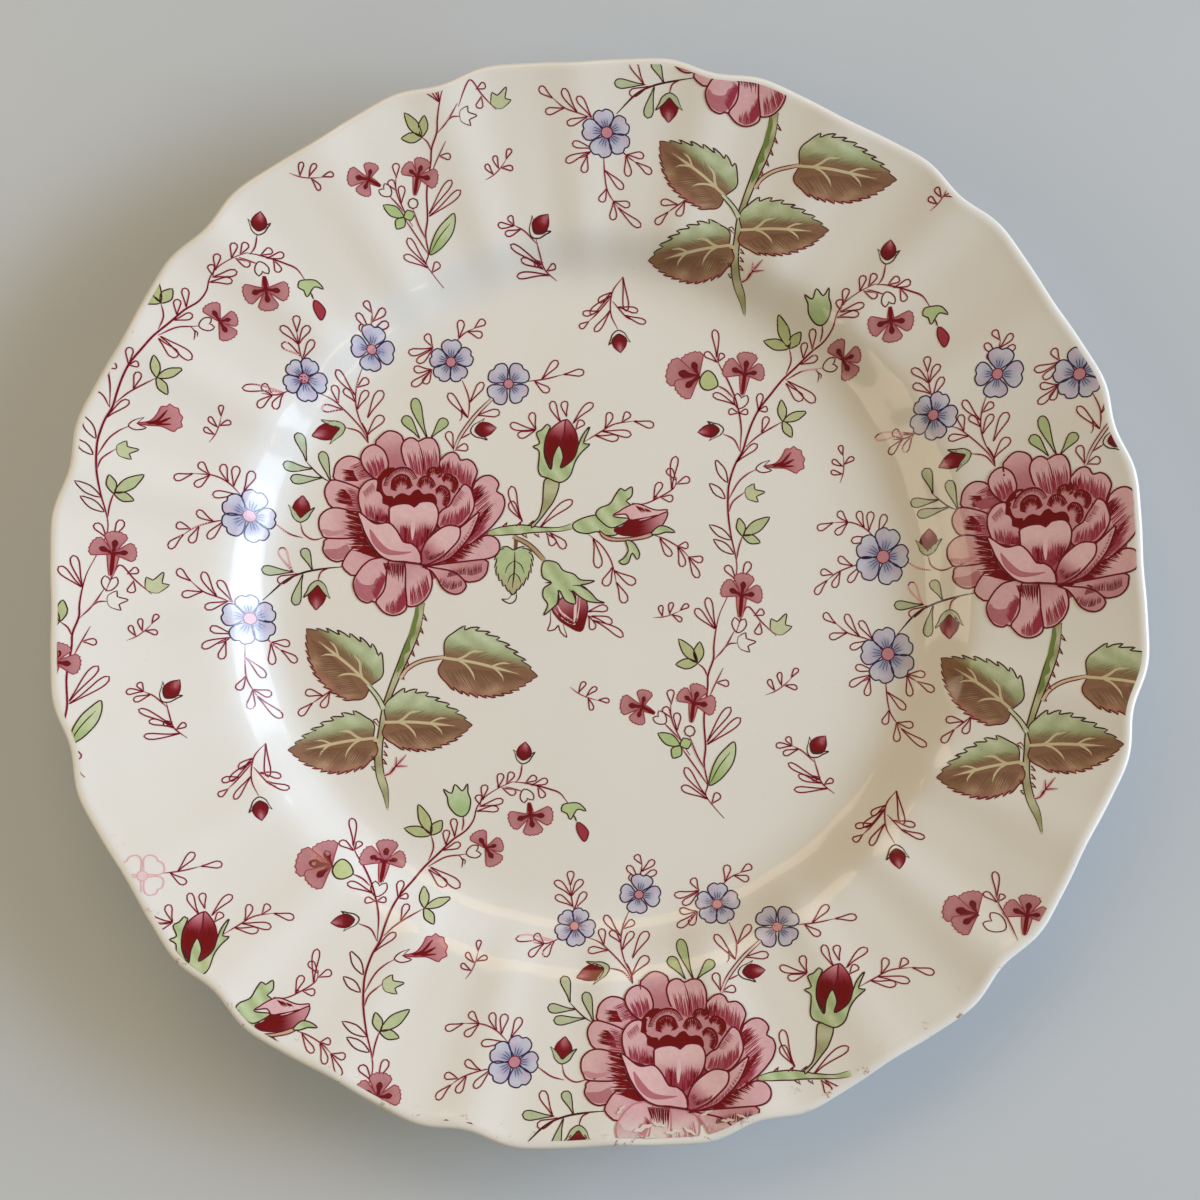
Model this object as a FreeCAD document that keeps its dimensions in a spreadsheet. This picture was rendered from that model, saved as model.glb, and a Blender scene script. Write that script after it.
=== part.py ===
import FreeCAD, Part
import math
import os

import Sketcher
from FreeCAD import Vector

# A scalloped, fluted dinner plate in millimetres. It stands on its foot ring at Z = 0, and the Z axis
# is the middle of the plate. A real plate is one fired piece with three layers, and each layer is built
# here on its own: the clay body, the glaze that coats it, and the thin printed colours.

SIZES = {
    # outline and heights of the glazed plate
    "plate_radius": 127.0,
    "plate_height": 23.6,
    "floor_height": 6.0,
    "floor_radius": 73.0,
    "shoulder_radius": 88.8,
    "shoulder_height": 14.7,
    # wall thickness, glaze included
    "well_thickness": 4.4,
    "lip_thickness": 3.4,
    # foot ring
    "foot_radius": 72.0,
    "foot_width": 3.6,
    "foot_spread": 1.4,
    # coats
    "glaze_thickness": 0.3,
    "bare_height": 0.7,
    "print_thickness": 0.12,
    # twelve lobes with a dip in the middle of each, and a flute from every notch and every dip
    "lobe_count": 12,
    "first_notch": 16.9,
    "lobe_dip": 0.68,
    "lobe_tilt": 0.3,
    "lobe_shoulder": 0.3,
    "notch_bite": 0.16,
    "flute_depth": 0.42,
    "flute_crease": 0.3,
    # the printed colours stop this far from the axis, inside the rounded lip
    "print_limit": 125.2,
}

POLES_AROUND = 288
ROUND_DIVISIONS = 20
PATCH_STEP = 2.4

# The wall rises from the floor to the shoulder, and the rim from the shoulder to the lip.
# Each pair is the share of the run and the share of the rise.
WALL_CURVE = [(0.0, 0.0), (0.3, 0.08), (0.52, 0.33), (0.72, 0.66), (0.9, 0.9), (1.08, 1.03)]
RIM_CURVE = [(0.16, 0.15), (0.36, 0.33), (0.58, 0.55), (0.78, 0.77), (0.92, 0.93)]


def make_document():
    """Open the document and write the driving sizes into its spreadsheet."""
    doc = FreeCAD.newDocument("dinner_plate")
    sheet = doc.addObject("Spreadsheet::Sheet", "sizes")
    for row, (name, value) in enumerate(SIZES.items(), start=1):
        sheet.set("A%d" % row, name)
        sheet.set("B%d" % row, str(value))
        sheet.setAlias("B%d" % row, name)
    doc.recompute()
    return doc, sheet


class Sizes:
    """Read the sheet's cells as plain numbers."""

    def __init__(self, sheet):
        for name in SIZES:
            setattr(self, name, float(sheet.get(name)))


def smooth_step(share):
    """Rise from 0 to 1 with level ends."""
    share = min(max(share, 0.0), 1.0)
    return share * share * (3.0 - 2.0 * share)


def top_stations(size):
    """Radius and height of the control points up the inside, from the floor to the lip."""
    wall_run = size.shoulder_radius - size.floor_radius
    wall_rise = size.shoulder_height - size.floor_height
    rim_run = size.plate_radius - size.shoulder_radius
    rim_rise = size.plate_height - size.shoulder_height
    stations = [(size.floor_radius - 6.0, size.floor_height), (size.floor_radius - 3.0, size.floor_height)]
    for run, rise in WALL_CURVE:
        stations.append((size.floor_radius + run * wall_run, size.floor_height + rise * wall_rise))
    for run, rise in RIM_CURVE:
        stations.append((size.shoulder_radius + run * rim_run, size.shoulder_height + rise * rim_rise))
    return stations


def polyline_normals(points):
    """Unit normals of a run of points, on its right-hand side."""
    normals = []
    last = len(points) - 1
    for index in range(len(points)):
        before = points[max(index - 1, 0)]
        after = points[min(index + 1, last)]
        run = after[0] - before[0]
        rise = after[1] - before[1]
        length = math.hypot(run, rise)
        normals.append((rise / length, -run / length))
    return normals


def section_stations(size):
    """Control points of the whole section: up the inside, round the lip and back underneath."""
    top = top_stations(size)
    under = []
    for index, ((radius, height), (across, down)) in enumerate(zip(top, polyline_normals(top))):
        share = index / (len(top) - 1.0)
        thickness = size.well_thickness + share * (size.lip_thickness - size.well_thickness)
        under.append((radius + across * thickness, height + down * thickness))
    lip = size.lip_thickness
    roll = [
        (size.plate_radius - 0.5 * lip, size.plate_height - 0.1),
        (size.plate_radius + 0.03 * lip, size.plate_height - 0.02 * lip),
        (size.plate_radius + 0.12 * lip, size.plate_height - 0.45 * lip),
        (size.plate_radius - 0.1 * lip, size.plate_height - 0.9 * lip),
        (size.plate_radius - 0.75 * lip, size.plate_height - 1.2 * lip),
    ]
    return top + roll + under[::-1]


def inset_stations(stations, depth):
    """The same section drawn back by a depth all over."""
    inset = []
    for (radius, height), (across, down) in zip(stations, polyline_normals(stations)):
        inset.append((radius + across * depth, height + down * depth))
    return inset


def lobed_point(size, radius, height, turn):
    """Place a point of the section at an angle, with the lobes and the flutes added."""
    phase = turn - math.radians(size.first_notch)
    lobes = size.lobe_count
    swell = size.lobe_tilt * math.cos(lobes * phase) - size.lobe_dip * math.cos(2 * lobes * phase)
    swell -= size.lobe_shoulder * math.cos(3 * lobes * phase) + size.notch_bite * math.cos(4 * lobes * phase)
    reach = smooth_step((radius - size.shoulder_radius) / (size.plate_radius - size.shoulder_radius))
    crease = size.flute_crease
    flute = (math.cos(2 * lobes * phase) + crease * math.cos(4 * lobes * phase)) / (1.0 + crease)
    rise = smooth_step((radius - size.floor_radius - 1.0) / (size.shoulder_radius - size.floor_radius))
    fall = 1.0 - 0.3 * reach
    wide = radius + reach * swell
    return Vector(wide * math.cos(turn), wide * math.sin(turn), height + size.flute_depth * rise * fall * flute)


def lobed_surface(size, stations):
    """One closed band of surface through the section's control points, all the way round."""
    poles = []
    for step in range(POLES_AROUND):
        turn = 2.0 * math.pi * step / POLES_AROUND
        poles.append([lobed_point(size, radius, height, turn) for radius, height in stations])
    degree = 3
    spans = len(stations) - degree
    along_knots = [float(knot) for knot in range(spans + 1)]
    along_counts = [degree + 1] + [1] * (spans - 1) + [degree + 1]
    around_knots = [float(knot) for knot in range(POLES_AROUND + 1)]
    around_counts = [1] * (POLES_AROUND + 1)
    surface = Part.BSplineSurface()
    surface.buildFromPolesMultsKnots(
        poles, around_counts, along_counts, around_knots, along_knots, True, False, degree, degree
    )
    return surface


def closed_solid(surface):
    """Close the band with its floor disc and its underside disc."""
    band = surface.toShape()
    discs = []
    for edge in band.Edges:
        if edge.isClosed() and abs(edge.BoundBox.ZLength) < 0.001:
            discs.append(Part.Face(Part.Wire([edge])))
    shell = Part.makeShell([band] + discs)
    shell.sewShape()
    solid = Part.makeSolid(shell)
    if solid.Volume < 0:
        solid.reverse()
    return solid


def add_feature(doc, name, shape):
    """Hold a shape made by Part's own functions as an object of the document."""
    feature = doc.addObject("Part::Feature", name)
    feature.Label = name
    feature.Shape = shape
    feature.Placement = FreeCAD.Placement()
    return feature


def add_foot_ring(doc, name, grow, top):
    """Turn the foot ring's section about the Z axis, with its two sides spreading upwards."""
    body = doc.addObject("PartDesign::Body", name)
    sketch = body.newObject("Sketcher::SketchObject", name + "_section")
    plane = [item for item in body.Origin.OriginFeatures if item.Role == "XZ_Plane"][0]
    sketch.AttachmentSupport = [(plane, "")]
    sketch.MapMode = "FlatFace"
    corners = [Vector(70, 0, 0), Vector(74, 0, 0), Vector(75, 3, 0), Vector(69, 3, 0)]
    for index in range(4):
        sketch.addGeometry(Part.LineSegment(corners[index], corners[(index + 1) % 4]), False)
    for index in range(4):
        sketch.addConstraint(Sketcher.Constraint("Coincident", index, 2, (index + 1) % 4, 1))
    sketch.addConstraint(Sketcher.Constraint("PointOnObject", 0, 1, -1))
    sketch.addConstraint(Sketcher.Constraint("Horizontal", 0))
    sketch.addConstraint(Sketcher.Constraint("Horizontal", 2))
    measures = [
        ("inside", 0, 1, "sizes.foot_radius - sizes.foot_width / 2 - %s" % grow),
        ("outside", 0, 2, "sizes.foot_radius + sizes.foot_width / 2 + %s" % grow),
        ("outside_top", 1, 2, "sizes.foot_radius + sizes.foot_width / 2 + sizes.foot_spread + %s" % grow),
        ("inside_top", 2, 2, "sizes.foot_radius - sizes.foot_width / 2 - sizes.foot_spread - %s" % grow),
    ]
    for label, line, end, formula in measures:
        point = sketch.getPoint(line, end)
        number = sketch.addConstraint(Sketcher.Constraint("DistanceX", -1, 1, line, end, point.x))
        sketch.renameConstraint(number, label)
        sketch.setExpression("Constraints." + label, formula)
    number = sketch.addConstraint(Sketcher.Constraint("DistanceY", -1, 1, 1, 2, 3.0))
    sketch.renameConstraint(number, "ring_top")
    sketch.setExpression("Constraints.ring_top", top)
    ring = body.newObject("PartDesign::Revolution", name + "_turned")
    ring.Profile = sketch
    ring.ReferenceAxis = (sketch, ["V_Axis"])
    ring.Angle = 360.0
    doc.recompute()
    return body


def add_pair(doc, kind, name, base, tool):
    """A boolean of two objects."""
    pair = doc.addObject(kind, name)
    pair.Base = base
    pair.Tool = tool
    pair.Label = name
    return pair


def build_body(doc, size):
    """The fired clay: the lobed dish, drawn back by the glaze, joined to its foot ring."""
    stations = inset_stations(section_stations(size), size.glaze_thickness)
    dish = add_feature(doc, "clay_dish", closed_solid(lobed_surface(size, stations)))
    ring = add_foot_ring(doc, "clay_foot", "0", "sizes.floor_height - sizes.well_thickness / 2")
    return add_pair(doc, "Part::Fuse", "earthenware_body", dish, ring)


def build_glaze(doc, size, body):
    """The glass skin, in the two coats that the bare foot ring parts: over the plate, and inside the ring."""
    dish = add_feature(doc, "glazed_dish", closed_solid(lobed_surface(size, section_stations(size))))
    ring = add_foot_ring(doc, "glazed_foot", "sizes.glaze_thickness",
                         "sizes.floor_height - sizes.well_thickness / 2")
    outside = add_pair(doc, "Part::Fuse", "glazed_outside", dish, ring)
    skin = add_pair(doc, "Part::Cut", "whole_skin", outside, body)
    wiped = doc.addObject("Part::Cylinder", "wiped_band")
    wiped.setExpression("Radius", "sizes.foot_radius + sizes.foot_width * 3")
    wiped.setExpression("Height", "sizes.bare_height * 2")
    wiped.setExpression("Placement.Base.z", "-sizes.bare_height")
    coats = add_pair(doc, "Part::Cut", "both_coats", skin, wiped)
    core = doc.addObject("Part::Cylinder", "foot_core")
    core.setExpression("Radius", "sizes.foot_radius")
    core.setExpression("Height", "sizes.floor_height - sizes.well_thickness / 2")
    coat = add_pair(doc, "Part::Cut", "glaze_coat", coats, core)
    under_coat = add_pair(doc, "Part::Common", "underside_glaze", coats, core)
    return coat, under_coat


class GlazeTop:
    """Heights of the glazed upper face."""

    def __init__(self, size):
        self.size = size
        stations = section_stations(size)
        self.surface = lobed_surface(size, stations)
        self.lip_span = len(top_stations(size)) - 1.0
        start = self.surface.value(0.0, 0.0)
        self.first_turn = math.atan2(start.y, start.x)

    def point_out(self, turn, reach):
        """The surface point at an angle and a distance from the axis."""
        around = ((turn - self.first_turn) * POLES_AROUND / (2.0 * math.pi)) % POLES_AROUND
        low = 0.0
        high = self.lip_span
        for _ in range(24):
            middle = 0.5 * (low + high)
            point = self.surface.value(around, middle)
            if math.hypot(point.x, point.y) < reach:
                low = middle
            else:
                high = middle
        return self.surface.value(around, low)

    def height(self, across, back):
        """Height at a place, carried on straight beyond the print's limit."""
        reach = math.hypot(across, back)
        if reach <= self.size.floor_radius - 5.0:
            return self.size.floor_height
        turn = math.atan2(back, across)
        limit = self.size.print_limit
        if reach <= limit:
            return self.point_out(turn, reach).z
        edge = self.point_out(turn, limit).z
        slope = (edge - self.point_out(turn, limit - 1.0).z)
        return edge + slope * (reach - limit)


def smooth_outline(points):
    """A closed smooth outline through points."""
    curve = Part.BSplineCurve()
    curve.interpolate(points, PeriodicFlag=True)
    return Part.Wire([curve.toShape()])


def lobed_outline(centre, reach, lobes, swell):
    """A flower's or a rose's outline: a round with even lobes."""
    points = []
    for step in range(2 * lobes):
        angle = math.pi / 2.0 + math.pi * step / lobes
        distance = reach * (1.0 + swell * (-1) ** step)
        points.append(Vector(centre[0] + distance * math.cos(angle), centre[1] + distance * math.sin(angle), 0))
    return smooth_outline(points)


def leaf_outline(base, tip, width):
    """A leaf's outline: two arcs from its base to its tip."""
    start = Vector(base[0], base[1], 0)
    end = Vector(tip[0], tip[1], 0)
    side = (end - start).cross(Vector(0, 0, 1)).normalize() * (width / 2.0)
    middle = (start + end) * 0.5
    arcs = [Part.Arc(start, middle + side, end).toShape(), Part.Arc(end, middle - side, start).toShape()]
    return Part.Wire(arcs)


def stem_outline(points, width):
    """A stem's outline: a strip of even width about a smooth line through points."""
    line = Part.BSplineCurve()
    line.interpolate([Vector(across, back, 0) for across, back in points])
    left = []
    right = []
    steps = 3 * (len(points) - 1)
    for step in range(steps + 1):
        place = line.FirstParameter + (line.LastParameter - line.FirstParameter) * step / steps
        centre = line.value(place)
        side = Vector(*line.tangent(place)[0]).cross(Vector(0, 0, 1)).normalize() * (width / 2.0)
        left.append(centre + side)
        right.append(centre - side)
    sides = []
    for run in (left, right[::-1]):
        curve = Part.BSplineCurve()
        curve.interpolate(run)
        sides.append(curve.toShape())
    ends = [Part.makeLine(left[-1], right[-1]), Part.makeLine(right[0], left[0])]
    return Part.Wire([sides[0], ends[0], sides[1], ends[1]])


def print_island(top, outline):
    """A film of printed colour with this outline, lying on the glaze."""
    size = top.size
    box = outline.BoundBox
    column = Part.Face(outline).extrude(Vector(0, 0, 2.0 * size.plate_height))
    reach = math.hypot(max(abs(box.XMin), abs(box.XMax)), max(abs(box.YMin), abs(box.YMax)))
    if reach > size.print_limit:
        column = column.common(Part.makeCylinder(size.print_limit, 2.0 * size.plate_height))
    margin = 1.5
    across_steps = max(4, int((box.XLength + 2 * margin) / PATCH_STEP))
    back_steps = max(4, int((box.YLength + 2 * margin) / PATCH_STEP))
    grid = []
    for along in range(across_steps + 1):
        across = box.XMin - margin + (box.XLength + 2 * margin) * along / across_steps
        row = []
        for step in range(back_steps + 1):
            back = box.YMin - margin + (box.YLength + 2 * margin) * step / back_steps
            row.append(Vector(across, back, top.height(across, back)))
        grid.append(row)
    patch = Part.BSplineSurface()
    patch.interpolate(grid)
    slab = patch.toShape().extrude(Vector(0, 0, size.print_thickness))
    return slab.common(column).Solids


def add_print(doc, top, name, outlines):
    """One named group of printed colour."""
    films = []
    for outline in outlines:
        films.extend(print_island(top, outline))
    return add_feature(doc, name, Part.makeCompound(films))


# The pattern is one printed tile, repeated. These are the plate's copies of its two plants: how far each
# copy lies from the main one, in millimetres to the right and to the back.
MAIN = (0.0, 0.0)
RIGHT_ROSE = (150.0, -7.0)
BOTTOM_ROSE = (65.0, -122.0)
TOP_ROSE = (84.5, 113.0)
LOWER_LEFT_ROSE = (-85.0, -118.0)
LEFT_VINE = (-149.0, 8.0)
LOWER_VINE = (-87.5, -118.0)
TOP_VINE = (-67.0, 126.0)
CORNER_VINE = (64.0, -128.5)

# One rose's middle, its leaves and buds from base to tip with a width, and its stem.
ROSE = (-44.5, 20.5, 21.0)
LEAVES = [(-53, -23, -70, -6, 13.0), (-37, -13, -14, -18, 14.0), (-52, -30, -30, -30, 12.5), (-54, -31, -74, -36, 11.0)]
ROSE_STEM = [(-43, -1.5), (-46, -14), (-52, -27), (-53, -40), (-50, -50)]
BUDS = [(-8, 33, -7, 47, 8.5), (2, 19, 19, 22, 8.0), (-10, 9, -4, -7, 9.0)]
BLUE_FLOWERS = [
    (-54.5, 62.5, 4.4), (-70.5, 54.0, 4.4), (-35.5, 60.0, 4.4),
    (-21.5, 54.0, 4.4), (-82.5, 22.0, 5.2), (-83.5, -2.5, 5.2),
]

# One vine's flowers and stem, and the loose sprigs scattered between the plants.
VINE_FLOWERS = [
    (22.5, 56.5, 4.0), (36.5, 57.0, 4.4), (60.0, 59.5, 3.4), (70.0, 66.5, 4.0),
    (37.0, 3.0, 4.6), (11.5, -26.0, 3.6), (25.0, -25.0, 3.8),
]
VINE_STEM = [(31, -51), (26, -40), (24, -25), (29, -10), (36, 1), (32, 25), (34, 45), (46, 62), (62, 73), (76, 72)]
LOOSE_SPRIGS = [
    [(-67, 97), (-65, 101), (-69, 103)],
    [(-21, 101), (-25, 103), (-24, 106)],
    [(-88, 42), (-91, 44), (-94, 41)],
    [(-104, -6), (-107, -6), (-111, -4)],
    [(0, -29), (-2, -23), (0, -18)],
    [(23, -5), (20, -2), (17, -1)],
    [(43, -21), (47, -19), (50, -17)],
    [(58, 32), (61, 35), (64, 37)],
    [(-27, -87), (-29, -85), (-32, -88)],
    [(82, 92), (80, 96), (78, 99)],
]


def laid(across, back):
    """Where a place in the flat pattern falls on the dished plate, which draws the pattern in a little."""
    pull = 0.9675 + 0.0165 * (across ** 2 + back ** 2) / 1.0e4
    return (across * pull - 0.9 + 0.024 * across * back / 100.0, back * (pull + 0.006) - 1.5)


def moved(points, copy):
    """Shift points by one copy of the tile and lay them on the plate."""
    return [laid(across + copy[0], back + copy[1]) for across, back in points]


def rose_outlines(copy):
    """A rose's silhouette."""
    across, back, reach = ROSE
    return [lobed_outline(moved([(across, back)], copy)[0], reach, 11, 0.05)]


def pointed_outlines(shapes, copy):
    """Leaves or buds."""
    outlines = []
    for base_across, base_back, tip_across, tip_back, width in shapes:
        base, tip = moved([(base_across, base_back), (tip_across, tip_back)], copy)
        outlines.append(leaf_outline(base, tip, width))
    return outlines


def flower_outlines(flowers, lobes, copy):
    """Flowers with this many petals."""
    outlines = []
    for across, back, reach in flowers:
        outlines.append(lobed_outline(moved([(across, back)], copy)[0], reach, lobes, 0.12))
    return outlines


def vine_outlines(copy, flowers, stem):
    """Part of a vine: some of its flowers and a length of its stem."""
    outlines = flower_outlines(flowers, 4, copy)
    if stem:
        outlines.append(stem_outline(moved(stem, copy), 0.9))
    return outlines


def print_groups():
    """Every named group of printed colour on the plate, with its outlines."""
    leaves_and_stem = pointed_outlines(LEAVES, MAIN) + [stem_outline(ROSE_STEM, 1.6)]
    return {
        "main_rose_print": rose_outlines(MAIN),
        "right_rose_print": rose_outlines(RIGHT_ROSE),
        "bottom_rose_print": rose_outlines(BOTTOM_ROSE),
        "top_rose_print": rose_outlines(TOP_ROSE),
        "main_leaves_print": leaves_and_stem,
        "right_leaves_print": pointed_outlines(LEAVES, RIGHT_ROSE),
        "top_leaves_print": pointed_outlines(LEAVES, TOP_ROSE),
        "main_buds_print": pointed_outlines(BUDS, MAIN),
        "bottom_bud_print": pointed_outlines(BUDS[:1], BOTTOM_ROSE),
        "lower_left_buds_print": pointed_outlines(BUDS[:2], LOWER_LEFT_ROSE),
        "main_blue_flowers_print": flower_outlines(BLUE_FLOWERS, 5, MAIN),
        "right_blue_flowers_print": flower_outlines(BLUE_FLOWERS[:3] + BLUE_FLOWERS[4:], 5, RIGHT_ROSE),
        "bottom_blue_flowers_print": flower_outlines(BLUE_FLOWERS[:5], 5, BOTTOM_ROSE),
        "top_blue_flower_print": flower_outlines(BLUE_FLOWERS[5:], 5, TOP_ROSE),
        "centre_vine_print": vine_outlines(MAIN, VINE_FLOWERS, VINE_STEM),
        "left_vine_print": vine_outlines(LEFT_VINE, VINE_FLOWERS[2:5], VINE_STEM[4:]),
        "lower_vine_print": vine_outlines(LOWER_VINE, VINE_FLOWERS[:5], VINE_STEM[5:]),
        "top_vine_print": vine_outlines(TOP_VINE, VINE_FLOWERS[5:], VINE_STEM[:3]),
        "corner_vine_print": vine_outlines(CORNER_VINE, VINE_FLOWERS[:2], None),
        "loose_sprigs_print": [stem_outline(moved(line, MAIN), 0.8) for line in LOOSE_SPRIGS],
    }


def check_document(doc):
    """Stop at any object that failed to build."""
    for item in doc.Objects:
        if "Invalid" in item.State or "Error" in item.State:
            raise RuntimeError("%s did not build: %s" % (item.Name, item.State))


def write_parts(parts):
    """Check each finished sub-part and write its STEP file."""
    os.makedirs("parts", exist_ok=True)
    for part in parts:
        shape = part.Shape
        if shape.isNull() or not shape.isValid() or shape.Volume <= 0:
            raise RuntimeError("%s has no sound solid" % part.Label)
        shape.exportStep("parts/%s.step" % part.Label)
        print(part.Label, len(shape.Solids), round(shape.Volume, 3), shape.BoundBox)


doc, sheet = make_document()
size = Sizes(sheet)
body = build_body(doc, size)
coat, under_coat = build_glaze(doc, size, body)
glazed_top = GlazeTop(size)
prints = [add_print(doc, glazed_top, name, outlines) for name, outlines in print_groups().items()]
doc.recompute()
check_document(doc)
write_parts([body, coat, under_coat] + prints)
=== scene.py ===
import math

import bpy
import numpy as np
from mathutils import Matrix, Vector
from mathutils.geometry import delaunay_2d_cdt


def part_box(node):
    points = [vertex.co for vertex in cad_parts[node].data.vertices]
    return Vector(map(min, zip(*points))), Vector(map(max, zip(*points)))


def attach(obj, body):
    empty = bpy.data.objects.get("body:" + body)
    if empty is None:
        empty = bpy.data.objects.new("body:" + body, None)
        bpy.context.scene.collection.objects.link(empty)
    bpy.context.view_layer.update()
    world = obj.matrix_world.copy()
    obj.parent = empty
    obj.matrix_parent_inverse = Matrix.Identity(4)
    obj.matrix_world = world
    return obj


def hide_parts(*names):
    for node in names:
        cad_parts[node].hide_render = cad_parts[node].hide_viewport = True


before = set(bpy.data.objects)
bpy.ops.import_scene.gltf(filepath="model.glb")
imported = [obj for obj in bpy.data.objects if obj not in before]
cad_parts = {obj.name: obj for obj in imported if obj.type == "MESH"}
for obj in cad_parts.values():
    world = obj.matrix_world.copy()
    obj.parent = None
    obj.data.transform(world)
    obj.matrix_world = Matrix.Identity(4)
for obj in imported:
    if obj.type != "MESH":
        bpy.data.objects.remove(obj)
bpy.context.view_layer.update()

# ---------------------------------------------------------------------------
# The plate's shape. Sizes are millimetres of a plate this wide across its glaze, scaled to the frame's.
# ---------------------------------------------------------------------------

GLAZE_LOW, GLAZE_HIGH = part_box("glaze_coat")
GLAZE_WIDTH = 254.34
MM = (GLAZE_HIGH[0] - GLAZE_LOW[0]) / GLAZE_WIDTH

PLATE_RADIUS = 127.0
PLATE_HEIGHT = 23.6
FLOOR_HEIGHT = 6.0
FLOOR_RADIUS = 73.0
SHOULDER_RADIUS = 88.8
SHOULDER_HEIGHT = 14.7
WELL_THICKNESS = 4.4
LIP_THICKNESS = 3.4
FOOT_RADIUS = 72.0
FOOT_WIDTH = 3.6
GLAZE_THICKNESS = 0.3
BARE_HEIGHT = 0.7
FIRST_NOTCH = math.radians(16.9)
LOBES = 12
LOBE_TILT = 0.3
LOBE_DIP = 0.68
LOBE_SHOULDER = 0.3
NOTCH_BITE = 0.16
FLUTE_DEPTH = 0.42
FLUTE_CREASE = 0.3
FLUTE_FADE = 0.3
WALL_CURVE = [(0.0, 0.0), (0.3, 0.08), (0.52, 0.33), (0.72, 0.66), (0.9, 0.9), (1.08, 1.03)]
RIM_CURVE = [(0.16, 0.15), (0.36, 0.33), (0.58, 0.55), (0.78, 0.77), (0.92, 0.93)]


def smooth_step(share):
    """Ease from 0 to 1 as a share goes from 0 to 1."""
    share = np.clip(share, 0.0, 1.0)
    return share * share * (3.0 - 2.0 * share)


def section_controls():
    """Radius and height of the section's control points, up the inside, round the lip and back."""
    top = [(FLOOR_RADIUS - 6.0, FLOOR_HEIGHT), (FLOOR_RADIUS - 3.0, FLOOR_HEIGHT)]
    for run, rise in WALL_CURVE:
        top.append((FLOOR_RADIUS + run * (SHOULDER_RADIUS - FLOOR_RADIUS),
                    FLOOR_HEIGHT + rise * (SHOULDER_HEIGHT - FLOOR_HEIGHT)))
    for run, rise in RIM_CURVE:
        top.append((SHOULDER_RADIUS + run * (PLATE_RADIUS - SHOULDER_RADIUS),
                    SHOULDER_HEIGHT + rise * (PLATE_HEIGHT - SHOULDER_HEIGHT)))
    top = np.array(top)
    slopes = np.gradient(top, axis=0)
    slopes /= np.linalg.norm(slopes, axis=1)[:, None]
    thickness = np.linspace(WELL_THICKNESS, LIP_THICKNESS, len(top))[:, None]
    under = top + np.stack([slopes[:, 1], -slopes[:, 0]], 1) * thickness
    lip = LIP_THICKNESS
    roll = np.array([
        (PLATE_RADIUS - 0.5 * lip, PLATE_HEIGHT - 0.1),
        (PLATE_RADIUS + 0.03 * lip, PLATE_HEIGHT - 0.02 * lip),
        (PLATE_RADIUS + 0.12 * lip, PLATE_HEIGHT - 0.45 * lip),
        (PLATE_RADIUS - 0.1 * lip, PLATE_HEIGHT - 0.9 * lip),
        (PLATE_RADIUS - 0.75 * lip, PLATE_HEIGHT - 1.2 * lip),
    ])
    return np.concatenate([top, roll, under[::-1]]), len(top)


def spline_weights(count, places):
    """Weights of clamped cubic B-spline control points at places along the curve."""
    degree = 3
    knots = np.concatenate([np.zeros(degree), np.arange(count - degree + 1), np.full(degree, count - degree)])
    places = np.clip(places, 0.0, count - degree - 1e-9)
    weights = ((places[:, None] >= knots[None, :-1]) & (places[:, None] < knots[None, 1:])).astype(float)
    for order in range(1, degree + 1):
        spans = len(knots) - 1 - order
        fresh = np.zeros((len(places), spans))
        for index in range(spans):
            left = knots[index + order] - knots[index]
            right = knots[index + order + 1] - knots[index + 1]
            if left > 0:
                fresh[:, index] += (places - knots[index]) / left * weights[:, index]
            if right > 0:
                fresh[:, index] += (knots[index + order + 1] - places) / right * weights[:, index + 1]
        weights = fresh
    return weights


CONTROLS, TOP_COUNT = section_controls()
SWELL_SHARE = smooth_step((CONTROLS[:, 0] - SHOULDER_RADIUS) / (PLATE_RADIUS - SHOULDER_RADIUS))
FLUTE_SHARE = smooth_step((CONTROLS[:, 0] - FLOOR_RADIUS - 1.0) / (SHOULDER_RADIUS - FLOOR_RADIUS))
FLUTE_SHARE = FLUTE_DEPTH * FLUTE_SHARE * (1.0 - FLUTE_FADE * SWELL_SHARE)


def section_at(places):
    """Radius, height, lobe share and flute height along the section."""
    weights = spline_weights(len(CONTROLS), np.asarray(places, float))
    columns = (CONTROLS[:, 0], CONTROLS[:, 1], SWELL_SHARE, FLUTE_SHARE)
    return [weights @ column for column in columns]


def swell(turn):
    """How far the lobed edge stands out at an angle."""
    phase = LOBES * (turn - FIRST_NOTCH)
    return (LOBE_TILT * np.cos(phase) - LOBE_DIP * np.cos(2 * phase)
            - LOBE_SHOULDER * np.cos(3 * phase) - NOTCH_BITE * np.cos(4 * phase))


def flute(turn):
    """Height of the flutes' creases at an angle, from -1 to 1."""
    phase = 2 * LOBES * (turn - FIRST_NOTCH)
    return (np.cos(phase) + FLUTE_CREASE * np.cos(2 * phase)) / (1.0 + FLUTE_CREASE)


TABLE_PLACES = np.linspace(0.0, TOP_COUNT + 1.5, 1200)
TABLE = section_at(TABLE_PLACES)
TOP_END = int(np.argmax(TABLE[0] > PLATE_RADIUS - 0.9))
TABLE = [column[:TOP_END] for column in TABLE]


def glaze_height(across, back):
    """Height of the glaze's upper face at places on the plate."""
    reach = np.hypot(across, back)
    turn = np.arctan2(back, across)
    out = swell(turn)
    radius, height, lobe, crease = TABLE
    looked_up = reach.copy()
    for _ in range(4):
        looked_up = reach - out * np.interp(looked_up, radius, lobe)
    rise = np.interp(looked_up, radius, height) + flute(turn) * np.interp(looked_up, radius, crease)
    return np.where(looked_up < radius[0], FLOOR_HEIGHT, rise)


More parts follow.
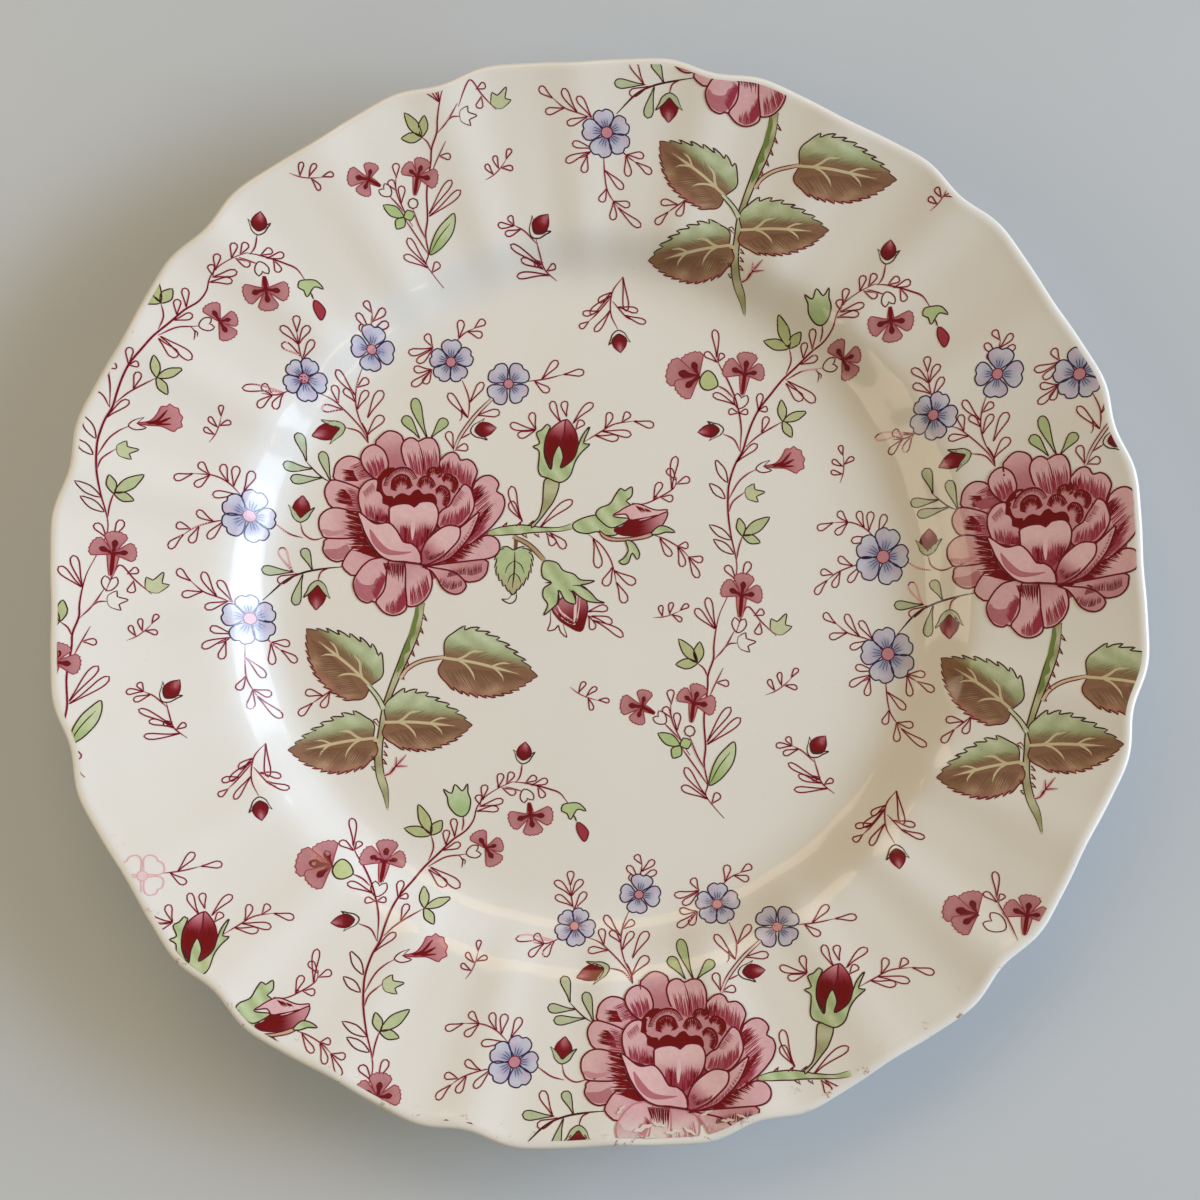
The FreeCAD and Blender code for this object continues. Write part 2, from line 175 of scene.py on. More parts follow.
def glaze_normals(across, back, step=0.06):
    """Unit normals of the glaze's upper face."""
    slope_x = (glaze_height(across + step, back) - glaze_height(across - step, back)) / (2 * step)
    slope_y = (glaze_height(across, back + step) - glaze_height(across, back - step)) / (2 * step)
    normals = np.stack([-slope_x, -slope_y, np.ones_like(slope_x)], 1)
    return normals / np.linalg.norm(normals, axis=1)[:, None]


# ---------------------------------------------------------------------------
# Materials
# ---------------------------------------------------------------------------

GROUND_SEEN = (209, 205, 196)
GROUND_COLOUR = (0.80, 0.77, 0.715)
GLAZE_IOR = 1.52
GLAZE_ROUGHNESS = (0.07, 0.15)
BLACK = (0.0, 0.0, 0.0)
WHITE = (1.0, 1.0, 1.0)


def to_linear(colour):
    """A screen colour, 0 to 255, as linear light."""
    colour = np.asarray(colour, float) / 255.0
    return np.where(colour <= 0.04045, colour / 12.92, ((colour + 0.055) / 1.055) ** 2.4)


def ink(colour):
    """A printed colour's own reflectance, from how it looks beside the plate's ground."""
    share = to_linear(colour) / to_linear(GROUND_SEEN)
    return np.clip(share * np.array(GROUND_COLOUR), 0.0, 0.95)


class Nodes:
    """Small helper to write a node material."""

    def __init__(self, name):
        self.material = bpy.data.materials.new(name)
        self.material.use_nodes = True
        self.tree = self.material.node_tree
        self.shader = self.tree.nodes["Principled BSDF"]

    def add(self, kind, **values):
        node = self.tree.nodes.new(kind)
        for key, value in values.items():
            setattr(node, key, value)
        return node

    def link(self, source, target):
        self.tree.links.new(source, target)

    def feed(self, value, socket):
        """Link an output to a socket, or set a number or a colour on it."""
        if hasattr(value, "is_output"):
            self.link(value, socket)
        elif isinstance(value, (int, float)):
            socket.default_value = value
        else:
            socket.default_value = (*value, 1.0)

    def noise(self, scale, detail=3.0, roughness=0.5):
        place = self.add("ShaderNodeTexCoord")
        node = self.add("ShaderNodeTexNoise")
        node.inputs["Scale"].default_value = scale
        node.inputs["Detail"].default_value = detail
        node.inputs["Roughness"].default_value = roughness
        self.link(place.outputs["Object"], node.inputs["Vector"])
        return node.outputs["Fac"]

    def ramp(self, source, stops):
        node = self.add("ShaderNodeValToRGB")
        while len(node.color_ramp.elements) < len(stops):
            node.color_ramp.elements.new(0.5)
        for element, (position, colour) in zip(node.color_ramp.elements, stops):
            element.position = position
            element.color = (*colour, 1.0)
        self.link(source, node.inputs["Fac"])
        return node.outputs["Color"]

    def mix(self, share, first, second, blend="MIX"):
        node = self.add("ShaderNodeMix", data_type="RGBA", blend_type=blend)
        self.feed(share, node.inputs["Factor"])
        self.feed(first, node.inputs["A"])
        self.feed(second, node.inputs["B"])
        return node.outputs["Result"]

    def spread(self, source, low, high, start=0.0, end=1.0):
        """Stretch the range from start to end over low to high."""
        node = self.add("ShaderNodeMapRange")
        node.inputs["From Min"].default_value = start
        node.inputs["From Max"].default_value = end
        node.inputs["To Min"].default_value = low
        node.inputs["To Max"].default_value = high
        self.link(source, node.inputs["Value"])
        return node.outputs["Result"]

    def math(self, operation, first, second):
        node = self.add("ShaderNodeMath", operation=operation)
        self.feed(first, node.inputs[0])
        self.feed(second, node.inputs[1])
        return node.outputs[0]

    def bump(self, height, strength, distance):
        """Give the surface small hollows and swellings."""
        node = self.add("ShaderNodeBump")
        node.inputs["Strength"].default_value = strength
        node.inputs["Distance"].default_value = distance
        self.link(height, node.inputs["Height"])
        self.link(node.outputs["Normal"], self.shader.inputs["Normal"])

    def gloss(self):
        """The glassy finish that every glazed surface shares: faint ripple and uneven polish."""
        self.shader.inputs["IOR"].default_value = GLAZE_IOR
        self.link(self.spread(self.noise(60.0), *GLAZE_ROUGHNESS), self.shader.inputs["Roughness"])
        self.bump(self.noise(38.0, 2.0), 0.25, 0.0004)


def lip_wear(nodes):
    """Brown scuffs where the lip has been rubbed, on the side nearest the lower edge of the pattern."""
    place = nodes.add("ShaderNodeTexCoord").outputs["Object"]
    axes = nodes.add("ShaderNodeSeparateXYZ")
    nodes.link(place, axes.inputs["Vector"])
    flat = nodes.add("ShaderNodeCombineXYZ")
    nodes.link(axes.outputs["X"], flat.inputs["X"])
    nodes.link(axes.outputs["Y"], flat.inputs["Y"])
    reach = nodes.add("ShaderNodeVectorMath", operation="LENGTH")
    nodes.link(flat.outputs["Vector"], reach.inputs[0])
    radius = PLATE_RADIUS * MM
    near_lip = nodes.spread(reach.outputs["Value"], 0.0, 1.0, radius - 6.0 * MM, radius - 1.0 * MM)
    lower = nodes.spread(axes.outputs["Y"], 1.0, 0.0, -0.75 * radius, -0.35 * radius)
    scuffs = nodes.ramp(nodes.noise(260.0, 6.0, 0.75), [(0.60, BLACK), (0.67, WHITE)])
    return nodes.math("MULTIPLY", nodes.math("MULTIPLY", near_lip, lower), scuffs)


def ground_material():
    """Cream glaze with faint clouding and specks, scuffed brown along the lip's lower side."""
    nodes = Nodes("cream_glaze")
    cloud = nodes.ramp(nodes.noise(22.0, 5.0), [(0.3, (0.785, 0.765, 0.718)), (0.7, (0.815, 0.800, 0.762))])
    specks = nodes.ramp(nodes.noise(900.0, 2.0), [(0.72, WHITE), (0.80, (0.80, 0.76, 0.70))])
    clean = nodes.mix(0.35, cloud, specks, "MULTIPLY")
    nodes.link(nodes.mix(lip_wear(nodes), clean, (0.36, 0.22, 0.13)), nodes.shader.inputs["Base Color"])
    nodes.gloss()
    return nodes.material


def print_material():
    """Printed colour: the tint held at each point, a little uneven, under the glaze's gloss."""
    nodes = Nodes("printed_colour")
    tint = nodes.add("ShaderNodeAttribute", attribute_name="tint")
    uneven = nodes.ramp(nodes.noise(700.0, 4.0, 0.7), [(0.3, (0.86, 0.86, 0.86)), (0.7, WHITE)])
    nodes.link(nodes.mix(1.0, tint.outputs["Color"], uneven, "MULTIPLY"), nodes.shader.inputs["Base Color"])
    nodes.gloss()
    return nodes.material


INKS = {
    "crimson": (100, 8, 30),
    "brown": (60, 30, 28),
    "navy": (44, 34, 66),
    "pink": (208, 160, 162),
    "rose": (138, 46, 64),
    "deep": (104, 6, 14),
    "pale": (214, 184, 184),
    "faded": (178, 118, 124),
    "vein": (184, 172, 136),
    "umber": (104, 72, 54),
}


def line_material(name):
    """One colour of printed line."""
    nodes = Nodes("line_" + name)
    nodes.shader.inputs["Base Color"].default_value = (*ink(INKS[name]), 1.0)
    nodes.gloss()
    return nodes.material


def clay_material():
    """Bare fired clay on the foot ring's resting face."""
    nodes = Nodes("bare_clay")
    grain = nodes.ramp(nodes.noise(260.0, 6.0, 0.7), [(0.3, (0.50, 0.42, 0.32)), (0.7, (0.72, 0.65, 0.53))])
    nodes.link(grain, nodes.shader.inputs["Base Color"])
    nodes.link(nodes.spread(nodes.noise(400.0), 0.65, 0.9), nodes.shader.inputs["Roughness"])
    nodes.bump(nodes.noise(1400.0, 4.0), 0.4, 0.0002)
    return nodes.material


GLAZE = ground_material()
PRINT = print_material()
LINES = {name: line_material(name) for name in INKS}
CLAY = clay_material()


# ---------------------------------------------------------------------------
# Meshes
# ---------------------------------------------------------------------------

def add_piece(name, points, faces, materials, normals=None, indices=None):
    """Make a piece from points in millimetres, smooth, on the plate's body."""
    mesh = bpy.data.meshes.new(name)
    mesh.from_pydata((np.asarray(points) * MM).tolist(), [], faces)
    for material in materials:
        mesh.materials.append(material)
    if indices is not None:
        mesh.polygons.foreach_set("material_index", np.asarray(indices, dtype=np.int32))
    mesh.polygons.foreach_set("use_smooth", np.ones(len(mesh.polygons), dtype=bool))
    mesh.update()
    if normals is not None:
        mesh.normals_split_custom_set_from_vertices(np.asarray(normals).tolist())
    piece = bpy.data.objects.new(name, mesh)
    bpy.context.scene.collection.objects.link(piece)
    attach(piece, "root")
    return piece


FLOOR_RINGS = (6.0, 20.0, 36.0, 52.0, 62.0)
ROWS_UP = 66
ROWS_LIP = 30
ROWS_BACK = 44
GLAZE_DIVISIONS = 576


def build_glaze():
    """The glazed surface: well, wall, rim, lip and underside to the foot ring, closed inside the clay."""
    inner = [(reach, FLOOR_HEIGHT, 0.0, 0.0) for reach in FLOOR_RINGS]
    lip_start, lip_end, last = TOP_COUNT - 1.0, TOP_COUNT + 4.0, len(CONTROLS) - 3
    steps_up = np.linspace(0.0, lip_start, ROWS_UP)
    steps_lip = np.linspace(lip_start, lip_end, ROWS_LIP)[1:]
    steps_back = np.linspace(lip_end, last, ROWS_BACK)[1:]
    section = np.stack(section_at(np.concatenate([steps_up, steps_lip, steps_back])), 1)
    section = [row for row in section if not (row[1] < FLOOR_HEIGHT - 1.0 and row[0] < FOOT_RADIUS + 5.0)]
    base = FLOOR_HEIGHT - WELL_THICKNESS
    foot = FOOT_RADIUS + FOOT_WIDTH / 2 + GLAZE_THICKNESS
    tail = [(foot + 1.9, base), (foot + 1.1, base - 0.05), (foot + 0.6, base - 0.25), (foot + 0.35,
                                                                                       base - 0.5),
            (foot + 0.26, BARE_HEIGHT), (foot - 0.1, BARE_HEIGHT), (FOOT_RADIUS, BARE_HEIGHT + 0.4),
            (FOOT_RADIUS - 1.0, base + 1.5), (30.0, base + 1.5)]
    rows = inner + [tuple(row) for row in section] + [(reach, rise, 0.0, 0.0) for reach, rise in tail]
    around = GLAZE_DIVISIONS
    turns = np.arange(around) * 2 * math.pi / around
    out, crease = swell(turns), flute(turns)
    points = [np.array([[0.0, 0.0, FLOOR_HEIGHT]])]
    for reach, rise, lobe, depth in rows:
        wide = reach + lobe * out
        points.append(np.stack([wide * np.cos(turns), wide * np.sin(turns), rise + depth * crease], 1))
    points.append(np.array([[0.0, 0.0, base + 1.5]]))
    points = np.concatenate(points)
    faces = []
    for step in range(around):
        after = (step + 1) % around
        faces.append((0, 1 + step, 1 + after))
        for row in range(len(rows) - 1):
            start = 1 + row * around
            faces.append((start + step, start + around + step, start + around + after, start + after))
        start = 1 + (len(rows) - 1) * around
        faces.append((len(points) - 1, start + after, start + step))
    piece = add_piece("glaze_surface", points, faces, [GLAZE])
    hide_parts("glaze_coat")


# The pattern was drawn flat and laid over the dished plate, which draws it in a little. Places in the
# pattern are millimetres across and back.

def lay(points):
    """Where places in the flat pattern fall on the plate."""
    across, back = points[:, 0], points[:, 1]
    pull = (across ** 2 + back ** 2) / 1.0e4
    x = -0.90 + 0.9675 * across + 0.024 * across * back / 100 + 0.0065 * across ** 2 / 100
    x += 0.0127 * back ** 2 / 100 + 0.0165 * across * pull
    y = -1.49 - 0.0037 * across + 0.9748 * back - 0.0062 * across * back / 100
    y += -0.0169 * across ** 2 / 100 + 0.0073 * back ** 2 / 100 + 0.0166 * back * pull
    return np.stack([x, y], 1)


# Each copy of the pattern's tile: the place of a point (across, back) is
# (a * across + b * back + c, d * across + e * back + f).
MAIN = (1.0, 0.0, 0.0, 0.0, 1.0, 0.0)
RIGHT = (0.910, -0.056, 147.4, 0.095, 0.968, -0.7)
BOTTOM = (0.995, 0.032, 62.8, 0.012, 0.907, -126.3)
TOP = (0.952, -0.060, 81.6, 0.016, 0.877, 115.2)
LOWER_LEFT = (0.952, -0.031, -84.3, -0.048, 0.921, -114.0)
LEFT_VINE = (1.032, 0.014, -151.5, -0.020, 0.961, 10.8)
LOWER_VINE = (1.067, -0.002, -90.3, -0.001, 0.960, -116.4)
TOP_VINE = (0.901, 0.025, -64.1, 0.012, 0.882, 122.3)
CORNER_VINE = (0.963, 0.083, 59.9, -0.016, 0.863, -120.7)

FIRST_LAYER = 0.045
LAYER_STEP = 0.004
# Lines lie within their layer, pink bleed lowest. Each line is a little above the last, in turns, so
# that lines that cross never share a height.
PINK_RANK = 0.05
LINE_RANK = 0.5
TURN_RISE = 0.07
LINE_TURNS = 6
EDGE_GAP = 1.6
WEAR_DEPTH = 6.0


def sample(points, spacing=0.55, closed=False):
    """Points along a smooth curve through the given ones."""
    points = np.asarray(points, float)
    if len(points) == 2 and not closed:
        count = max(2, int(np.linalg.norm(points[1] - points[0]) / spacing) + 1)
        return np.linspace(points[0], points[1], count)
    if closed:
        ring = np.concatenate([points[-1:], points, points[:2]])
    else:
        ring = np.concatenate([2 * points[:1] - points[1:2], points, 2 * points[-1:] - points[-2:-1]])
    runs = []
    for index in range(1, len(ring) - 2):
        before, start, end, after = ring[index - 1:index + 3]
        count = max(1, int(np.linalg.norm(end - start) / spacing))
        share = (np.arange(count) / count)[:, None]
        runs.append(0.5 * (2 * start + (end - before) * share
                           + (2 * before - 5 * start + 4 * end - after) * share ** 2
                           + (3 * start - before - 3 * end + after) * share ** 3))
    if not closed:
        runs.append(ring[-2:-1])
    return np.concatenate(runs)


def inside(points, outline):
    """Which points lie inside a closed outline."""
    across, back = points[:, 0][:, None], points[:, 1][:, None]
    start, end = outline, np.roll(outline, -1, axis=0)
    crosses = (start[:, 1] > back) != (end[:, 1] > back)
    rise = np.where(end[:, 1] == start[:, 1], 1e-9, end[:, 1] - start[:, 1])
    hit = across < (end[:, 0] - start[:, 0]) * (back - start[:, 1]) / rise + start[:, 0]
    return (np.sum(crosses & hit, axis=1) % 2) == 1


def upward(flat, face):
    """The face's corners in the order that makes it look up."""
    corners = flat[face]
    after = np.roll(corners, -1, axis=0)
    area = np.sum(corners[:, 0] * after[:, 1] - corners[:, 1] * after[:, 0])
    return face if area > 0 else face[::-1]


def blend(first, second, share):
    """Mix two colours by an array of shares."""
    share = np.clip(np.asarray(share, float), 0.0, 1.0)[:, None]
    return np.asarray(first, float) * (1 - share) + np.asarray(second, float) * share


class Canvas:
    """Collects one group of printed colour and line, and lays it on the plate."""

    def __init__(self, copy=MAIN, worn_below=None, bloom=1.0):
        self.copy = copy
        self.worn_below = worn_below
        self.bloom = bloom
        self.layer = FIRST_LAYER
        self.inked = False
        self.turn = 0
        self.fills = []
        self.strokes = []

    def start(self, steps):
        """Begin a motif a few layers above the glaze, over what lies behind it."""
        self.layer = FIRST_LAYER + steps * LAYER_STEP
        self.inked = False

    def place(self, points):
        a, b, c, d, e, f = self.copy
        moved = np.stack([a * points[:, 0] + b * points[:, 1] + c, d * points[:, 0] + e * points[:, 1] + f],
                         1)
        return lay(moved)

    def fill(self, outline, colour, grid=1.1):
        """A patch of colour. colour is one colour, or a rule that gives each point its own."""
        outline = np.asarray(outline, float)
        outline = outline[upward(outline, list(range(len(outline))))]
        self.lift()
        low, high = outline.min(0), outline.max(0)
        xs = np.arange(low[0] + grid / 2, high[0], grid)
        ys = np.arange(low[1] + grid / 2, high[1], grid)
        cells = np.stack(np.meshgrid(xs, ys), -1).reshape(-1, 2)
        if len(cells):
            cells = cells[inside(cells, outline)]
        if len(cells):
            gaps = np.linalg.norm(cells[:, None] - outline[None], axis=2).min(1)
            cells = cells[gaps > 0.3 * grid]
        points = [Vector(point) for point in np.concatenate([outline, cells]).tolist()]
        found = delaunay_2d_cdt(points, [], [list(range(len(outline)))], 1, 1e-5)
        flat = np.array([tuple(point) for point in found[0]])
        faces = [list(face) for face in found[2]]
        tints = colour(flat) if callable(colour) else np.tile(np.asarray(colour, float), (len(flat), 1))
        if self.worn_below is not None:
            tints = blend(tints, GROUND_SEEN, 0.7 * smooth_step((self.worn_below - flat[:, 1]) / WEAR_DEPTH))
        self.fills.append((self.place(flat), faces, tints, self.layer))
        self.layer += LAYER_STEP

    def patch(self, points, colour, spacing=0.6, grid=1.1):
        """A patch of colour whose outline runs smoothly through the points."""
        self.fill(sample(points, spacing, closed=True), colour, grid)

    def stroke(self, points, width=0.3, name="crimson", taper=(0.4, 0.4), closed=False, spacing=0.55):
        """A printed line through points, thinner at its ends by the taper's shares."""
        path = sample(points, spacing, closed)
        if closed:
            path = np.concatenate([path, path[:1]])
        if len(path) < 2:
            return
        along = np.gradient(path, axis=0)
        if closed:
            along[0] = along[-1] = path[1] - path[-2]
        along /= np.maximum(np.linalg.norm(along, axis=1), 1e-9)[:, None]
        side = np.stack([-along[:, 1], along[:, 0]], 1)
        share = np.linspace(0.0, 1.0, len(path))
        near = taper[0] + (1 - taper[0]) * smooth_step(share / 0.3)
        far = taper[1] + (1 - taper[1]) * smooth_step((1 - share) / 0.3)
        half = (0.5 * width * (np.ones_like(share) if closed else near * far))[:, None]
        flat = np.concatenate([path + side * half, path - side * half])
        count = len(path)
        faces = [[i, i + 1, count + i + 1, count + i] for i in range(count - 1)]
        if self.worn_below is not None and path[:, 1].mean() < self.worn_below - 0.5 * WEAR_DEPTH:
            name = "faded"
        rank = PINK_RANK if name == "pink" else LINE_RANK
        rise = self.layer + LAYER_STEP * (rank + TURN_RISE * self.turn)
        self.strokes.append((self.place(flat), faces, name, rise))
        self.turn = (self.turn + 1) % LINE_TURNS
        self.inked = True

    def lift(self):
        """Draw above every line drawn so far."""
        if self.inked:
            self.layer += LAYER_STEP
        self.inked = False

    def lay_down(self, parts):
        """Join parts on the plate, cut at the lip: points, faces, each face's part and the parts kept."""
        points, faces, sources, kept, start = [], [], [], [], 0
        for index, part in enumerate(parts):
            flat = part[0]
            turn = np.arctan2(flat[:, 1], flat[:, 0])
            limit = PLATE_RADIUS + swell(turn) - EDGE_GAP
            reach = np.hypot(flat[:, 0], flat[:, 1])
            beyond = reach > limit
            if beyond.all():
                continue
            kept.append(part)
            flat = flat * np.where(beyond, limit / np.maximum(reach, 1e-6), 1.0)[:, None]
            rise = glaze_height(flat[:, 0], flat[:, 1]) + part[3]
            points.append(np.column_stack([flat, rise]))
            for face in part[1]:
                if not all(beyond[corner] for corner in face):
                    faces.append([corner + start for corner in upward(flat, face)])
                    sources.append(index)
            start += len(flat)
        return np.concatenate(points), faces, sources, kept

    def finish(self, name, node):
        """Make the colour piece and the line piece."""
        points, faces, _, kept = self.lay_down(self.fills)
        colour = add_piece(name + "_colour", points, faces, [PRINT], glaze_normals(points[:, 0],
                                                                                   points[:, 1]))
        tint = colour.data.color_attributes.new("tint", "FLOAT_COLOR", "POINT")
        tints = np.concatenate([part[2] for part in kept])
        tint.data.foreach_set("color", np.column_stack([ink(tints), np.ones(len(tints))]).ravel())
        points, faces, sources, _ = self.lay_down(self.strokes)
        used = sorted({self.strokes[index][2] for index in sources})
        indices = [used.index(self.strokes[index][2]) for index in sources]
        lines = add_piece(name + "_lines", points, faces, [LINES[key] for key in used],
                          glaze_normals(points[:, 0], points[:, 1]), indices)
        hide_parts(node)


def local(base, tip, pairs):
    """Points given as shares of the way from base to tip, and shares of that length to the left."""
    base, tip = np.asarray(base, float), np.asarray(tip, float)
    along = tip - base
    left = np.array([-along[1], along[0]])
    pairs = np.asarray(pairs, float)
    return base + pairs[:, :1] * along + pairs[:, 1:] * left


def shares(points, base, tip):
    """The reverse of local."""
    base, tip = np.asarray(base, float), np.asarray(tip, float)
    along = tip - base
    left = np.array([-along[1], along[0]])
    size = along @ along
    return (points - base) @ along / size, (points - base) @ left / size


# ---------------------------------------------------------------------------
# Drawing: the pattern's own small vocabulary
# ---------------------------------------------------------------------------

LIGHT_PETAL = (204, 162, 165)
MID_PETAL = (188, 133, 139)
SHADE_PETAL = (156, 80, 92)
PALE_PETAL = (212, 176, 177)
DEEP_PETAL = (104, 6, 12)
GREEN_LIGHT = (188, 198, 166)
GREEN_MID = (146, 156, 114)
GREEN_DARK = (104, 124, 66)
BROWN_DARK = (128, 94, 72)
BLUSH = (150, 88, 84)
BROWN_LIGHT = (170, 142, 112)
LEAFLET_GREEN = (172, 182, 148)
BLUE_DARK = (104, 112, 152)
BLUE_PALE = (190, 189, 200)
VINE_PINK = (176, 122, 124)
VINE_DARK = (100, 18, 26)


def jitter(index):
    """A steady scatter between 0 and 1 that makes repeated marks look hand drawn."""
    return (math.sin(index * 12.9898 + 4.1) * 43758.5453) % 1.0


def vine_stroke(canvas, points, width=0.36):
    """A thin crimson line with its pink bleed either side."""
    canvas.stroke(points, width + 0.14, "pink")
    canvas.stroke(points, width - 0.04, "crimson")


def directions(path):
    """Unit steps along a path, and unit steps to its left."""
    along = np.gradient(path, axis=0)
    along /= np.linalg.norm(along, axis=1)[:, None]
    return along, np.stack([-along[:, 1], along[:, 0]], 1)


def double_stroke(canvas, points, gap, name="crimson", width=0.32, colour=None):
    """Two parallel lines that draw a stem, with colour between them."""
    path = sample(points)
    _, side = directions(path)
    wide = np.interp(np.linspace(0, 1, len(path)), np.linspace(0, 1, len(gap)), gap)[:, None] / 2
    left, right = path + side * wide, path - side * wide
    if colour is not None:
        canvas.fill(np.concatenate([left, right[::-1]]), colour)
    canvas.lift()
    canvas.stroke(left[::2], width, name)
    canvas.stroke(right[::2], width, name)


def leaflet(canvas, base, tip, width=1.75, colour=None, name="crimson", bend=0.05):
    """A small loop, pointed where it leaves the stem and round at its end."""
    length = math.dist(base, tip)
    half = min(0.5 * width / length, 0.32)
    canvas.start(1 if colour is not None else 0)
    side = [(0.0, 0.0), (0.26, 0.28), (0.54, 0.72), (0.78, 1.0), (0.94, 0.72), (1.0, 0.0)]
    bow = [bend * 4 * along * (1 - along) for along, _ in side]
    pairs = [(along, lean + out * half) for (along, out), lean in zip(side, bow)]
    pairs += [(along, lean - out * half) for (along, out), lean in list(zip(side, bow))[-2:0:-1]]
    outline = sample(local(base, tip, pairs), 0.5, closed=True)
    if colour is not None:
        canvas.fill(outline, colour, 1.6)
    if name == "crimson":
        canvas.stroke(outline, 0.44, "pink", closed=True)
    canvas.stroke(outline, 0.30, name, closed=True)


LEAFLET_LEAN = 40.0


def nearest_joint(stem, tip):
    """Where a leaflet with this tip leaves the stem: the place that gives it a forward lean."""
    path = sample(stem, 0.8)
    along, _ = directions(path)
    reach = np.asarray(tip, float) - path
    size = np.linalg.norm(reach, axis=1)
    turn = np.degrees(np.arccos(np.clip((reach * along).sum(1) / size, -1, 1)))
    return path[np.argmin(np.abs(turn - LEAFLET_LEAN) + 3.5 * size)]


def spray(canvas, stem, tips, width=0.34, leaf_width=1.75, colour=None, name="crimson"):
    """A thin stem with leaflets, their tips given."""
    canvas.start(0)
    if name == "crimson":
        vine_stroke(canvas, stem, width)
    else:
        canvas.stroke(stem, width, name)
    for index, tip in enumerate(tips):
        joint = nearest_joint(stem, tip)
        leaflet(canvas, joint, tip, leaf_width, colour, name, 0.10 * jitter(index + tip[0]) - 0.05)


def loops(canvas, pairs, width=1.9, colour=None, name="crimson"):
    """Leaflets given by their tip and the joint they leave from."""
    for tip, joint in pairs:
        leaflet(canvas, joint, tip, width, colour, name, 0.08 * jitter(tip[0]) - 0.04)


COMB_DENSITY = 1.75
COMB_FINENESS = 0.58


def comb(canvas, roots, tips, count, width=0.3, name="deep", wander=0.25):
    """Engraved shading: strokes from one line towards another, thick at the root and fine at the tip."""
    root_path, tip_path = sample(roots, 0.3), sample(tips, 0.3)
    count, width = int(COMB_DENSITY * count), COMB_FINENESS * width
    for index in range(count):
        share = (index + 0.5 + 0.3 * (jitter(index) - 0.5)) / count
        root = root_path[min(int(share * len(root_path)), len(root_path) - 1)]
        tip = tip_path[min(int(share * len(tip_path)), len(tip_path) - 1)]
        reach = 1.0 - wander * jitter(index * 3.7 + 1.3)
        tip = root + (tip - root) * reach
        run = tip - root
        middle = (root + tip) / 2 + 0.06 * np.array([-run[1], run[0]]) * (jitter(index * 1.7) - 0.5)
        canvas.stroke([root, middle, tip], width, name, taper=(0.9, 0.15), spacing=0.8)


def shade_along(base, tip, near, far, start=0.1, end=0.7):
    """A colour rule that runs from one colour near the base to another near the tip."""
    def rule(points):
        along, _ = shares(points, base, tip)
        return blend(near, far, smooth_step((along - start) / (end - start)))
    return rule


def petal(canvas, outline, base, tip, near=SHADE_PETAL, far=LIGHT_PETAL, start=0.05, end=0.65):
    """A rose petal: its colour deepens to the base, with a crimson outline."""
    outline = sample(outline, 0.6, closed=True)
    canvas.fill(outline, shade_along(base, tip, near, far, start, end))
    canvas.stroke(outline, 0.42, "crimson", closed=True)
    canvas.lift()


def serrate(path, depth, pitch, lean=0.5):
    """Cut forward-pointing teeth into a path. The teeth stand out on its left."""
    steps = np.linalg.norm(np.diff(path, axis=0), axis=1)
    length = np.concatenate([[0.0], np.cumsum(steps)])
    teeth = max(2, int(round(length[-1] / pitch)))
    along, left = directions(path)
    made = []
    for tooth in range(teeth):
        for share, out in ((0.0, 0.0), (0.5, 0.55), (0.93, 1.0)):
            place = (tooth + share) / teeth * length[-1]
            index = min(int(np.searchsorted(length, place)), len(path) - 1)
            fade = min(1.0, 4.0 * (1.0 - place / length[-1]))
            ahead = along[index] * lean * out * depth * fade
            made.append(path[index] + left[index] * depth * out * fade + ahead)
    made.append(path[-1])
    return np.array(made)


# ---------------------------------------------------------------------------
# The rose
# ---------------------------------------------------------------------------

